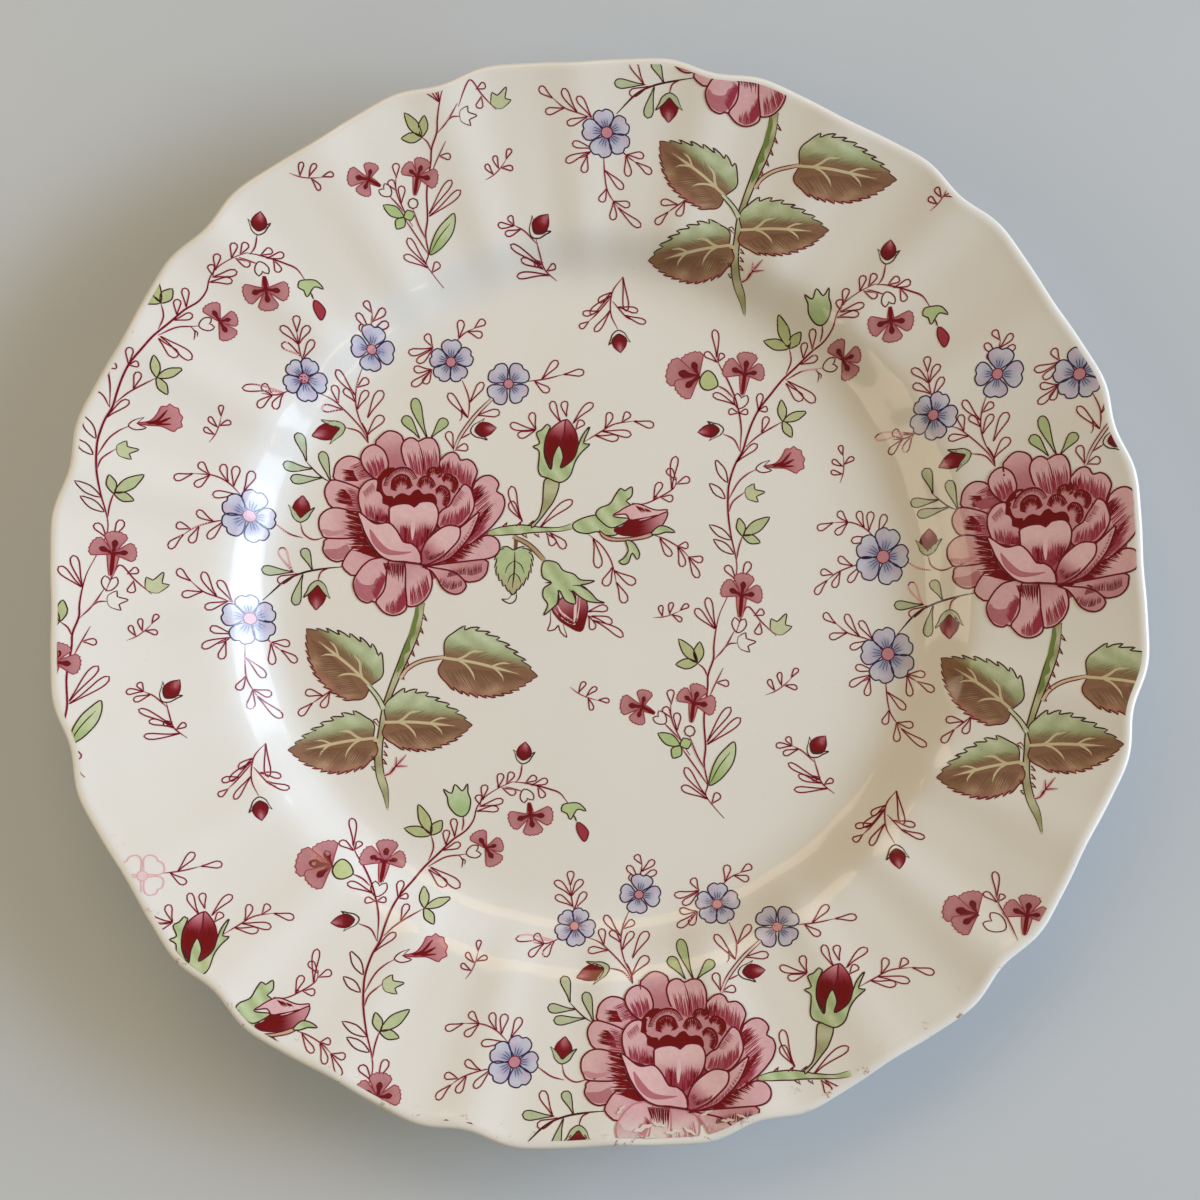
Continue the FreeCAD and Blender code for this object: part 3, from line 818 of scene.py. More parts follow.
def rose(canvas):
    """The open rose, its outer petals first and its folded inner petals over them."""
    canvas.start(5)
    behind = [(-46.8, 38.0), (-51.2, 39.0), (-56.0, 35.4), (-60.4, 33.0), (-62.8, 28.6), (-63.4, 21.7),
              (-62.6, 14.0), (-57.6, 9.6), (-54.6, 4.5), (-49.3, 1.0), (-42.8, 3.4), (-37.0, 7.4),
              (-30.0, 9.4), (-26.4, 14.0), (-25.4, 23.0), (-27.6, 28.8), (-31.6, 32.4), (-38.5, 36.0)]
    canvas.patch(behind, SHADE_PETAL, 1.0, 3.0)

    petal(canvas, [(-56.9, 35.2), (-59.7, 36.6), (-61.8, 36.1), (-63.3, 34.6), (-63.8, 32.7), (-63.5, 30.8),
                   (-58.0, 27.0), (-54.0, 30.0)], (-54.0, 27.0), (-62.5, 35.0), MID_PETAL)
    comb(canvas, [(-57.8, 30.5), (-58.6, 31.8), (-59.0, 33.0)], [(-62.0, 30.6), (-62.2, 32.2),
                                                                 (-62.3, 33.4)], 7, 0.5)
    comb(canvas, [(-54.5, 31.5), (-56.2, 33.5), (-57.4, 35.0)], [(-58.5, 30.5), (-59.5, 32.5),
                                                                 (-60.5, 33.6)], 14, 0.3, "rose")
    petal(canvas, [(-63.5, 30.8), (-65.4, 29.9), (-66.1, 28.0), (-65.6, 25.9), (-64.1, 24.0), (-58.0, 21.0),
                   (-56.0, 25.5), (-57.5, 28.5)], (-55.0, 25.0), (-66.0, 28.0), MID_PETAL)
    comb(canvas, [(-59.2, 24.4), (-59.7, 26.5), (-61.0, 28.2)], [(-64.0, 25.6), (-64.2, 26.8),
                                                                 (-62.8, 28.6)], 9, 0.5)
    comb(canvas, [(-57.6, 23.0), (-57.8, 25.5), (-58.5, 28.0)], [(-61.5, 23.4), (-62.0, 26.0),
                                                                 (-61.0, 29.0)], 14, 0.3, "rose")
    petal(canvas, [(-65.3, 16.5), (-66.3, 14.9), (-66.5, 13.5), (-65.4, 11.8), (-63.7, 10.8), (-61.8, 10.9),
                   (-57.0, 13.0), (-57.0, 19.0)], (-54.0, 17.0), (-65.5, 12.5), MID_PETAL, LIGHT_PETAL, 0.1,
          0.5)
    petal(canvas, [(-65.3, 16.5), (-66.9, 17.9), (-67.5, 19.6), (-67.3, 21.7), (-66.0, 23.2), (-64.3, 23.9),
                   (-62.2, 23.8), (-59.7, 23.0), (-57.8, 22.3), (-57.0, 17.0)], (-55.0, 18.5), (-67.5, 20.5),
          MID_PETAL, PALE_PETAL, 0.2, 0.9)
    canvas.patch([(-67.0, 18.6), (-65.8, 17.2), (-64.5, 17.0), (-61.5, 17.6), (-59.5, 19.0), (-61.0, 18.6),
                        (-64.0, 18.2), (-65.6, 18.7)], MID_PETAL)
    canvas.patch([(-66.4, 13.6), (-65.0, 11.8), (-62.5, 11.2), (-60.0, 12.4), (-60.6, 14.8), (-62.8, 13.9),
                        (-64.8, 13.8)], (172, 112, 120))
    petal(canvas, [(-61.6, 10.6), (-61.4, 9.0), (-60.1, 7.7), (-58.8, 7.2), (-54.0, 8.0), (-53.0, 12.5),
                   (-58.5, 14.2)], (-52.0, 13.5), (-60.8, 8.4), MID_PETAL)
    comb(canvas, [(-57.5, 22.0), (-56.8, 18.0), (-55.0, 14.5), (-52.5, 11.5)],
         [(-62.0, 23.4), (-61.8, 18.0), (-60.6, 14.0), (-57.5, 12.5)], 19, 0.6, wander=0.5)

    bottom = (-48.0, 12.0)
    petal(canvas, [(-41.3, 9.2), (-40.0, 7.5), (-39.6, 5.4), (-40.0, 3.1), (-41.3, 1.0), (-43.2, -0.4),
                   (-45.3, -0.7), (-46.2, -0.2), (-47.5, 5.0), (-47.0, 10.2)], bottom, (-41.5, -0.6),
          MID_PETAL)
    comb(canvas, [(-40.3, 3.5), (-41.6, 1.3), (-43.2, 0.1), (-44.8, -0.3)],
         [(-41.2, 8.0), (-42.4, 7.0), (-43.8, 5.5), (-45.0, 4.5)], 16, 0.34, "rose", 0.5)
    petal(canvas, [(-54.4, 0.9), (-55.5, 0.4), (-57.5, 1.3), (-58.8, 3.5), (-59.0, 5.8), (-57.9, 8.0),
                   (-56.2, 10.0), (-54.0, 11.2), (-50.0, 10.8), (-50.0, 4.0), (-53.2, 0.6)], (-50.5, 9.5),
          (-57.8, 3.0), LIGHT_PETAL, LIGHT_PETAL)
    canvas.patch([(-58.8, 5.0), (-58.2, 2.6), (-56.0, 0.9), (-53.8, 1.4), (-52.0, 4.2), (-51.2, 7.0),
                  (-52.4, 6.6), (-53.6, 6.2), (-54.2, 5.0), (-56.0, 4.8), (-57.4, 5.4), (-58.2, 6.6)],
                 (170, 104, 114))
    comb(canvas, [(-53.4, 1.4), (-52.2, 3.4), (-51.0, 6.4)], [(-54.8, 3.6), (-53.8, 6.0), (-52.4, 8.2)], 14,
         0.5, "rose", 0.3)
    petal(canvas, [(-45.9, -0.6), (-47.0, -2.2), (-49.3, -2.8), (-51.5, -2.0), (-53.0, -0.3), (-53.4, 0.9),
                   (-51.3, 4.0), (-50.3, 10.6), (-46.6, 10.3), (-46.2, 4.0)], bottom, (-49.3, -2.8),
          MID_PETAL, LIGHT_PETAL, 0.0, 0.4)
    comb(canvas, [(-46.2, -0.4), (-47.6, -1.9), (-49.4, -2.4), (-51.0, -1.7)],
         [(-46.6, 5.4), (-47.8, 3.0), (-49.4, 1.4), (-50.8, 1.0)], 18, 0.42, "rose", 0.5)
    comb(canvas, [(-51.6, 10.2), (-46.6, 10.0)], [(-50.4, 6.6), (-47.0, 4.8)], 13, 0.42, "crimson", 0.5)

    petal(canvas, [(-31.4, 5.0), (-31.8, 3.1), (-33.5, 2.2), (-35.6, 2.7), (-37.3, 4.1), (-38.3, 6.0),
                   (-39.8, 8.0), (-41.3, 9.0), (-35.0, 8.6)], (-41.3, 9.2), (-33.5, 2.4), LIGHT_PETAL,
          MID_PETAL)
    petal(canvas, [(-26.5, 10.6), (-25.9, 8.6), (-26.5, 6.9), (-28.0, 5.6), (-29.9, 5.2), (-31.4, 5.4),
                   (-34.5, 7.8), (-41.0, 9.4), (-34.0, 10.8)], (-41.0, 9.4), (-26.5, 7.0), LIGHT_PETAL,
          MID_PETAL)
    comb(canvas, [(-38.0, 5.0), (-36.4, 3.8), (-34.6, 3.4), (-32.4, 4.2)],
         [(-37.2, 6.6), (-35.2, 6.0), (-33.6, 5.8), (-32.4, 6.0)], 10, 0.34, "crimson", 0.3)
    comb(canvas, [(-35.8, 6.4), (-32.4, 7.0), (-29.6, 6.8), (-27.4, 7.6)],
         [(-35.2, 8.4), (-32.2, 9.2), (-29.6, 9.6), (-27.4, 10.2)], 17, 0.34, "crimson", 0.25)
    petal(canvas, [(-28.0, 15.8), (-26.3, 16.6), (-24.4, 16.3), (-23.1, 14.9), (-23.0, 13.0), (-24.2, 11.5),
                   (-26.3, 10.8), (-28.4, 10.6), (-35.0, 9.9), (-41.0, 9.5), (-34.0, 12.6)], (-38.0, 10.0),
          (-23.5, 14.0), (150, 70, 84), LIGHT_PETAL, 0.1, 0.55)
    comb(canvas, [(-37.5, 10.4), (-34.0, 12.6), (-29.6, 17.2)], [(-33.5, 9.9), (-29.8, 11.6), (-26.2, 15.4)],
         17, 0.6, wander=0.45)

    petal(canvas, [(-29.5, 28.7), (-28.6, 30.2), (-27.3, 31.2), (-25.6, 31.5), (-24.2, 30.8), (-23.2, 29.3),
                   (-23.7, 27.5), (-22.3, 26.6), (-21.7, 24.7), (-22.3, 22.3), (-23.7, 20.2), (-25.4, 18.3),
                   (-27.5, 16.6), (-31.0, 14.5), (-32.0, 20.0)], (-32.5, 19.0), (-23.5, 28.0), MID_PETAL)
    comb(canvas, [(-32.0, 14.0), (-29.4, 18.5), (-28.6, 22.0), (-29.8, 27.0)],
         [(-25.6, 18.6), (-23.8, 23.5), (-24.4, 26.2), (-26.4, 29.8)], 17, 0.42, "rose", 0.35)
    comb(canvas, [(-31.5, 15.0), (-29.0, 19.5)], [(-26.4, 20.6), (-24.2, 25.2)], 7, 0.5, wander=0.4)
    comb(canvas, [(-29.6, 24.5), (-29.8, 27.6)], [(-26.0, 27.6), (-27.4, 29.6)], 6, 0.5, wander=0.4)

    petal(canvas, [(-46.8, 40.3), (-47.9, 42.0), (-49.8, 42.7), (-51.2, 42.4), (-52.9, 40.9), (-53.6, 39.3),
                   (-52.0, 33.0), (-46.2, 33.8)], (-48.5, 33.0), (-50.0, 42.7), (174, 112, 120), LIGHT_PETAL,
          0.2, 1.0)
    petal(canvas, [(-53.8, 31.0), (-55.9, 32.9), (-57.0, 34.8), (-57.2, 36.5), (-56.3, 38.2), (-55.0, 39.1),
                   (-53.8, 39.3), (-52.5, 38.7), (-51.4, 37.6), (-50.7, 35.9), (-50.5, 33.8), (-52.0, 31.2)],
          (-52.5, 31.2), (-54.3, 39.0), MID_PETAL, LIGHT_PETAL)
    comb(canvas, [(-54.8, 32.0), (-53.6, 31.4), (-51.4, 33.0)], [(-56.4, 35.8), (-54.4, 37.0), (-52.0, 36.8)],
         15, 0.34, "rose", 0.5)
    petal(canvas, [(-43.8, 30.6), (-46.2, 34.2), (-47.0, 36.5), (-47.3, 38.2), (-46.8, 39.9), (-45.3, 40.9),
                   (-44.0, 40.7), (-43.1, 40.0), (-41.5, 40.8), (-39.8, 40.8), (-38.8, 40.0), (-38.0, 38.2),
                   (-37.8, 36.1), (-38.1, 33.5), (-40.5, 31.5)], (-42.0, 31.0), (-42.6, 40.8), MID_PETAL,
          LIGHT_PETAL)
    comb(canvas, [(-44.6, 32.6), (-42.0, 31.6), (-38.4, 33.6)], [(-46.2, 38.6), (-43.0, 38.4), (-38.8, 38.6)],
         22, 0.34, "rose", 0.55)
    canvas.stroke([(-43.1, 39.8), (-42.2, 37.0), (-41.8, 33.5), (-42.2, 31.2)], 0.3, "crimson")
    petal(canvas, [(-37.9, 34.4), (-37.3, 35.7), (-36.0, 36.9), (-34.5, 37.3), (-33.3, 36.5), (-32.7, 35.3),
                   (-30.9, 35.5), (-29.5, 34.6), (-28.7, 33.1), (-28.6, 31.9), (-29.7, 29.3), (-30.4, 27.5),
                   (-33.5, 28.5), (-36.5, 31.6)], (-34.0, 29.5), (-32.0, 36.6), MID_PETAL, LIGHT_PETAL)
    comb(canvas, [(-37.0, 32.0), (-34.0, 30.5), (-30.4, 28.2)], [(-37.0, 35.4), (-33.6, 35.4), (-29.6, 33.6)],
         26, 0.38, "rose", 0.5)
    comb(canvas, [(-37.2, 32.6), (-36.0, 31.8)], [(-37.2, 35.2), (-35.4, 36.2)], 5, 0.4, wander=0.3)

    rose_centre(canvas)

    petal(canvas, [(-52.6, 20.0), (-56.3, 21.5), (-57.4, 23.8), (-57.8, 25.9), (-57.6, 28.0), (-56.3, 29.9),
                   (-54.6, 30.8), (-53.1, 30.6), (-53.1, 29.0), (-53.3, 28.0), (-52.4, 27.6), (-51.7, 26.4),
                   (-51.7, 24.9), (-50.4, 24.4), (-49.6, 22.5), (-49.6, 19.6)], (-52.0, 20.5), (-56.5, 29.5),
          MID_PETAL, LIGHT_PETAL, 0.1, 0.6)
    comb(canvas, [(-55.8, 21.6), (-53.0, 20.4), (-50.0, 20.4)], [(-56.4, 25.4), (-53.6, 24.6), (-50.2, 23.6)],
         22, 0.36, "rose", 0.5)
    comb(canvas, [(-56.6, 27.8), (-54.4, 29.8)], [(-55.6, 25.6), (-53.4, 27.6)], 8, 0.3, "rose", 0.4)
    comb(canvas, [(-53.6, 20.4), (-50.2, 20.2)], [(-53.6, 22.8), (-50.2, 22.8)], 9, 0.45, wander=0.5)
    petal(canvas, [(-35.4, 24.0), (-34.3, 25.9), (-32.8, 28.0), (-31.8, 29.3), (-30.3, 28.5), (-29.5, 26.4),
                   (-29.2, 24.2), (-29.9, 22.1), (-31.4, 20.0), (-33.3, 18.8), (-37.7, 18.6), (-38.3, 21.3),
                   (-36.9, 23.2)], (-35.0, 18.5), (-31.5, 28.8), MID_PETAL, LIGHT_PETAL, 0.1, 0.6)
    comb(canvas, [(-37.6, 19.2), (-33.4, 19.2), (-30.4, 22.0)], [(-36.4, 22.6), (-33.0, 23.8), (-30.4, 26.0)],
         22, 0.38, "rose", 0.5)
    comb(canvas, [(-35.0, 24.4), (-32.6, 27.8)], [(-33.4, 23.6), (-31.0, 26.6)], 8, 0.3, "rose", 0.4)
    petal(canvas, [(-50.2, 22.5), (-50.0, 23.8), (-48.3, 24.5), (-46.2, 24.7), (-44.9, 24.4), (-44.0, 23.8),
                   (-42.8, 24.9), (-41.1, 25.2), (-39.4, 24.9), (-38.3, 23.4), (-38.1, 21.3), (-38.8, 18.7),
                   (-40.7, 15.8), (-42.6, 12.3), (-47.0, 14.8), (-49.8, 19.0)], (-44.0, 13.5), (-44.3, 24.8),
          SHADE_PETAL, PALE_PETAL, 0.05, 0.75)
    comb(canvas, [(-47.4, 16.0), (-44.0, 13.6), (-40.8, 16.0)], [(-47.4, 20.4), (-44.6, 20.2), (-40.4, 20.6)],
         18, 0.42, "rose", 0.5)
    comb(canvas, [(-46.6, 15.4), (-45.2, 14.8)], [(-46.8, 20.0), (-45.4, 19.6)], 5, 0.5, wander=0.3)
    comb(canvas, [(-43.4, 13.6), (-40.4, 15.8)], [(-43.6, 17.0), (-39.0, 20.4)], 8, 0.4, wander=0.4)
    canvas.patch([(-44.4, 22.0), (-43.8, 21.2), (-43.9, 18.0), (-44.5, 15.6), (-44.9, 18.6)], PALE_PETAL, 0.5)

    petal(canvas, [(-32.9, 18.2), (-31.6, 19.4), (-28.1, 22.3), (-29.0, 19.2), (-30.5, 16.2), (-33.0, 13.2),
                   (-36.0, 10.7), (-41.9, 9.0), (-37.0, 11.5), (-34.0, 14.8)], (-41.0, 9.2), (-29.0, 21.5),
          (172, 108, 118), LIGHT_PETAL, 0.0, 0.8)
    comb(canvas, [(-39.6, 9.8), (-34.8, 11.8), (-30.8, 16.4), (-28.8, 21.0)],
         [(-38.4, 10.8), (-34.4, 13.4), (-31.6, 17.0), (-29.6, 20.6)], 22, 0.3, "rose", 0.3)
    petal(canvas, [(-42.4, 9.9), (-42.3, 12.4), (-41.0, 15.4), (-38.3, 17.9), (-36.0, 19.1), (-33.9, 19.0),
                   (-32.7, 18.3), (-33.0, 15.8), (-35.2, 13.2), (-37.7, 11.1), (-40.7, 9.6)], (-41.6, 10.4),
          (-34.4, 18.8), SHADE_PETAL, PALE_PETAL, 0.05, 0.6)
    comb(canvas, [(-41.6, 12.6), (-40.4, 10.6), (-37.0, 12.0)], [(-40.2, 13.4), (-38.8, 12.6), (-36.4, 13.4)],
         14, 0.24, "crimson", 0.5)
    petal(canvas, [(-57.8, 22.8), (-56.9, 19.6), (-55.9, 17.0), (-54.2, 14.1), (-52.1, 11.8), (-49.5, 10.6),
                   (-46.6, 10.4), (-42.4, 10.0), (-43.0, 13.2), (-44.9, 14.9), (-46.6, 15.2), (-48.5, 18.3),
                   (-50.4, 20.0), (-53.8, 19.9)], (-43.5, 10.5), (-56.0, 20.5), (206, 160, 166), PALE_PETAL,
          0.0, 0.5)
    canvas.patch([(-55.0, 18.6), (-54.4, 15.4), (-52.4, 13.0), (-50.0, 12.0), (-46.4, 12.2), (-44.6, 12.8),
                        (-47.6, 12.9), (-50.4, 13.6), (-52.6, 15.6)], (172, 104, 114))
    canvas.stroke([(-42.3, 10.2), (-42.3, 11.6), (-42.6, 13.0)], 0.6, "deep")
    canvas.stroke([(-41.0, 9.1), (-43.0, 9.8), (-46.6, 10.3), (-49.5, 10.5)], 0.5, "crimson")


def worn_petals(canvas):
    """Scuffs by the lip where the print has rubbed through to the cream."""
    for x, y, length, width, lean in ((-55.0, 4.6, 5.0, 1.3, 20), (-50.6, 6.6, 3.6, 1.0, -15), (-47.6, 4.2,
                                                                                                4.4, 1.1,
                                                                                                10), (-43.4,
                                                                                                      5.6,
                                                                                                      3.8,
                                                                                                      0.9,
                                                                                                      -30),
                                      (-39.4, 8.2, 3.4, 0.8, 25), (-34.6, 7.2, 3.4, 0.9, 5), (-58.8, 8.6,
                                                                                              3.0, 0.9, 50),
                                      (-52.4, 3.2, 2.8, 0.7, 5), (-31.0, 8.8, 2.6, 0.7, -20)):
        turn = math.radians(lean)
        tip = (x + length * math.cos(turn), y + length * math.sin(turn))
        half = 0.5 * width / length
        ragged = [(0.0, 0.0), (0.16, 0.8 * half), (0.34, 0.4 * half), (0.52, 1.2 * half), (0.78, 0.5 * half),
                  (1.0, 0.1 * half), (0.8, -0.7 * half), (0.58, -0.4 * half), (0.36, -1.1 * half),
                  (0.14, -0.4 * half)]
        canvas.fill(local((x, y), tip, ragged), (206, 190, 176), 1.0)


def frill(canvas, edge, middle, reach=0.62, width=0.6):
    """A small inner petal: dark along its edge, with strokes that taper in towards its middle."""
    path = sample(edge, 0.4)
    tips = path + (np.asarray(middle, float) - path) * reach
    canvas.stroke(path, 0.5, "deep")
    comb(canvas, path, tips, int(1.1 * len(path)), width, "deep", 0.35)


def rose_centre(canvas):
    """The deep heart of the rose with its small frilled petals."""
    canvas.patch([(-52.9, 30.6), (-52.5, 31.9), (-50.8, 33.3), (-48.5, 33.4), (-46.2, 34.0), (-44.0, 32.7),
                  (-43.2, 31.4), (-41.1, 31.4), (-40.7, 32.9), (-38.8, 33.5), (-36.9, 31.8), (-34.3, 31.7),
                  (-33.0, 30.2), (-33.2, 28.0), (-35.2, 23.0), (-38.0, 22.0), (-41.1, 24.3), (-44.0, 23.0),
                  (-50.0, 23.8), (-52.4, 26.0), (-53.3, 28.9)], (186, 132, 138), 0.6, 1.5)
    canvas.patch([(-53.2, 28.6), (-53.4, 30.4), (-52.6, 31.9), (-50.8, 33.5), (-48.8, 33.5), (-50.4, 31.9),
                  (-51.8, 30.4), (-51.9, 28.4), (-51.0, 26.8), (-49.2, 26.4), (-49.8, 24.2), (-52.2, 25.4),
                  (-53.2, 27.0)], DEEP_PETAL, 0.5, 1.4)
    frill(canvas, [(-51.6, 29.2), (-50.8, 31.2), (-49.0, 33.0), (-46.6, 33.6), (-44.6, 32.8), (-43.4, 31.0)],
          (-47.2, 29.6), 0.34, 0.4)
    frill(canvas, [(-49.8, 28.4), (-49.4, 30.5), (-47.6, 31.8), (-45.7, 31.3), (-44.5, 29.2)], (-47.0, 27.2))
    frill(canvas, [(-41.1, 32.0), (-40.4, 33.1), (-38.9, 33.5), (-37.6, 32.5), (-37.2, 31.5)], (-39.2, 30.4))
    frill(canvas, [(-43.4, 29.3), (-42.4, 30.9), (-40.9, 31.4), (-39.6, 30.5), (-38.8, 29.2)], (-41.2, 27.4))
    frill(canvas, [(-37.2, 31.0), (-36.2, 31.8), (-34.8, 31.5), (-33.6, 30.4), (-33.4, 28.8), (-34.2, 27.2)],
          (-36.2, 28.6))
    frill(canvas, [(-38.7, 28.2), (-37.6, 29.0), (-36.2, 28.5), (-35.4, 27.2), (-35.4, 25.4), (-36.2, 23.8)],
          (-38.4, 25.6))
    canvas.patch([(-49.6, 25.0), (-48.5, 26.6), (-46.9, 27.3), (-45.2, 26.7), (-44.3, 27.7), (-43.0, 28.2),
                  (-41.8, 27.0), (-40.2, 27.2), (-38.9, 26.6), (-38.4, 24.6), (-39.5, 23.5), (-44.2, 22.6),
                  (-49.6, 23.6)], DEEP_PETAL, 0.5, 1.4)


# ---------------------------------------------------------------------------
# The leaves and their stem
# ---------------------------------------------------------------------------

def rose_leaf(canvas, base, tip, upper, lower, green_side=1.0):
    """A toothed leaf: green on one side of its rib and browned on the other, with pale forked veins."""
    canvas.start(3)
    high = [(0.0, 0.0), (-0.03, 0.5 * upper), (0.05, 0.82 * upper), (0.22, upper), (0.42, 0.92 * upper),
            (0.62, 0.68 * upper), (0.82, 0.34 * upper), (1.0, 0.0)]
    low = [(0.0, 0.0), (-0.04, 0.42 * lower), (0.03, 0.72 * lower), (0.2, 0.94 * lower), (0.42, lower),
           (0.62, 0.86 * lower), (0.82, 0.5 * lower), (1.0, 0.0)]
    turn = 1.0 if green_side > 0 else -1.0
    high = [(along, turn * out) for along, out in high]
    low = [(along, -turn * out) for along, out in low]
    high_path = sample(local(base, tip, high), 0.5)
    low_path = sample(local(base, tip, low), 0.5)
    start = int(0.22 * len(high_path))
    high_teeth = np.concatenate([high_path[:start], serrate(high_path[start:], turn * 1.0, 2.7, 0.9 * turn)])
    low_teeth = np.concatenate([low_path[:start], serrate(low_path[start:], -turn * 0.75, 2.0, -0.9 * turn)])
    outline = np.concatenate([high_teeth, low_teeth[::-1][1:-1]])

    def tint(points):
        along, out = shares(points, base, tip)
        out = out * turn
        brown = smooth_step((0.17 - out) / 0.15)
        mottle = 0.5 + 0.5 * np.sin(points[:, 0] * 0.9 + 2.0 * np.sin(points[:, 1] * 0.7))
        near = blend(GREEN_MID, GREEN_LIGHT, smooth_step((out - 0.08) / 0.2) * (0.5 + 0.5 * mottle))
        far = blend(BROWN_DARK, BROWN_LIGHT, smooth_step((-out - 0.06) / 0.2) * (0.25 + 0.75 * mottle))
        mixed = near * (1 - brown[:, None]) + far * brown[:, None]
        blush = 0.5 * smooth_step((-out - 0.2) / 0.15)
        return blend(mixed, BLUSH, blush)

    canvas.fill(outline, tint, 1.0)
    canvas.stroke(high_teeth, 0.36, "brown", taper=(0.8, 0.6))
    canvas.stroke(low_teeth, 0.34, "crimson", taper=(0.8, 0.6))
    roots = local(base, tip, [(0.02, -0.12 * turn), (0.3, -0.06 * turn), (0.7, -0.03 * turn)])
    ends = local(base, tip, [(0.18, -0.92 * lower * turn), (0.5, -0.92 * lower * turn),
                             (0.92, -0.2 * lower * turn)])
    comb(canvas, roots, ends, 30, 0.2, "umber", 0.25)
    roots = local(base, tip, [(0.05, 0.1 * turn), (0.35, 0.06 * turn), (0.7, 0.03 * turn)])
    ends = local(base, tip, [(0.2, 0.55 * upper * turn), (0.5, 0.5 * upper * turn), (0.9,
                                                                                     0.2 * upper * turn)])
    comb(canvas, roots, ends, 16, 0.16, "umber", 0.5)
    canvas.lift()
    for points, (width, fine) in (
        ([(-0.02, 0.0), (0.3, 0.012), (0.56, 0.0), (0.8, -0.015)], (0.7, 0.15)),
        ([(0.12, 0.0), (0.2, 0.05), (0.28, 0.12), (0.4, 0.14)], (0.6, 0.15)),
        ([(0.16, 0.0), (0.24, -0.03), (0.32, -0.1), (0.36, -0.17)], (0.5, 0.15)),
        ([(0.5, 0.0), (0.56, 0.04), (0.62, 0.065), (0.7, 0.07)], (0.45, 0.15)),
        ([(0.52, 0.0), (0.58, -0.03), (0.64, -0.08), (0.66, -0.12)], (0.45, 0.15)),
    ):
        points = [(along, out * turn) for along, out in points]
        canvas.stroke(local(base, tip, points), width, "vein", taper=(1.0, fine))


def stem_colour(points):
    """Dull green that comes and goes along a stem."""
    shade = 0.5 + 0.5 * np.sin(points[:, 1] * 0.8 + 1.0)
    return blend((180, 180, 146), (150, 148, 108), shade)


def thorns(canvas, points, side, size=1.1, count=5, name="crimson"):
    """Small hooked thorns on one side of a stem."""
    path = sample(points, 0.5)
    along, left = directions(path)
    left = left * side
    for index in range(count):
        place = int((index + 0.5) / count * len(path))
        root = path[place]
        tip = root + left[place] * size + along[place] * size * 0.9
        canvas.stroke([root - along[place] * 0.4, tip], 0.3, name, taper=(1.0, 0.2))
        canvas.stroke([root + along[place] * 0.5, tip], 0.24, name, taper=(1.0, 0.2))


def leaves(canvas):
    """Four leaves on the rose's thorny stem."""
    canvas.start(0)
    main_stem = [(-42.4, 0.4), (-43.6, -6.0), (-46.0, -12.0), (-48.8, -18.5), (-51.0, -24.5), (-52.0, -30.0),
                 (-52.9, -36.0), (-52.6, -41.0), (-51.3, -45.5), (-50.7, -50.0)]
    double_stroke(canvas, main_stem, (1.9, 2.2, 2.2, 1.7, 1.4, 1.5, 1.5, 1.9, 1.9, 0.2), "brown", 0.34,
                  stem_colour)
    canvas.patch([(-43.2, -0.4), (-42.9, -2.8), (-43.6, -5.4), (-43.9, -7.4), (-45.0, -9.0), (-45.1, -11.4),
                  (-46.5, -12.6), (-46.7, -14.8), (-48.4, -16.8), (-47.4, -13.0), (-45.7, -8.6),
                  (-44.4, -4.0)], GREEN_DARK, 0.6, 1.2)
    thorns(canvas, [(-41.6, -2.0), (-42.6, -6.0), (-44.9, -12.0), (-47.6, -18.0)], 1.0, 1.3, 6)
    thorns(canvas, [(-51.4, -33.0), (-51.9, -39.0)], 1.0, 1.1, 3)
    thorns(canvas, [(-53.9, -41.0), (-54.0, -36.5)], 1.0, 0.8, 2, "brown")
    double_stroke(canvas, [(-47.5, -18.3), (-45.6, -15.8), (-42.0, -14.0), (-36.3, -13.1)], (0.9, 0.9, 0.8),
                  "crimson", 0.28, (196, 176, 150))
    double_stroke(canvas, [(-51.6, -25.6), (-53.0, -22.8), (-55.5, -19.6)], (1.2, 0.9), "brown", 0.3,
                  GREEN_LIGHT)
    rose_leaf(canvas, (-54.9, -19.9), (-70.5, -5.6), 0.33, 0.33, -1.0)
    rose_leaf(canvas, (-36.6, -13.4), (-13.6, -18.1), 0.34, 0.31)
    rose_leaf(canvas, (-51.0, -28.8), (-29.8, -29.9), 0.35, 0.29)
    rose_leaf(canvas, (-54.2, -32.6), (-74.5, -35.0), 0.31, 0.33, -1.0)
    canvas.stroke([(-52.6, -33.4), (-54.4, -32.7)], 0.9, "vein")
    twig = [(-51.6, -41.6), (-50.2, -41.2), (-48.8, -39.6)]
    for prong in ((-48.5, -37.2), (-46.1, -36.8), (-45.8, -39.5)):
        canvas.stroke(twig + [prong], 0.8, "pink", taper=(0.9, 0.4))
        canvas.stroke(twig + [prong], 0.3, "crimson", taper=(0.9, 0.3))
    canvas.stroke([(-53.0, -29.6), (-54.2, -28.2), (-53.4, -27.9), (-52.8, -29.0)], 0.3, "crimson")
    spray(canvas, [(-64.6, -20.8), (-66.5, -22.0), (-69.0, -23.6)], [(-70.8, -21.0), (-72.3, -26.5)])
    leaflet(canvas, (-64.9, -21.0), (-66.8, -24.8))


# ---------------------------------------------------------------------------
# Buds
# ---------------------------------------------------------------------------

def green_rule(points):
    """Fresh green with a slow change across it."""
    shade = 0.5 + 0.5 * np.sin(points[:, 0] * 1.3 + points[:, 1] * 0.9)
    return blend((184, 196, 156), (156, 172, 124), shade)


def crimson_rule(base, tip):
    """Deep crimson that glows pink towards the middle of the tip."""
    def rule(points):
        along, out = shares(points, base, tip)
        glow = smooth_step((along - 0.45) / 0.5) * smooth_step((0.34 - np.abs(out)) / 0.3)
        return blend((112, 12, 24), (196, 140, 148), glow)
    return rule


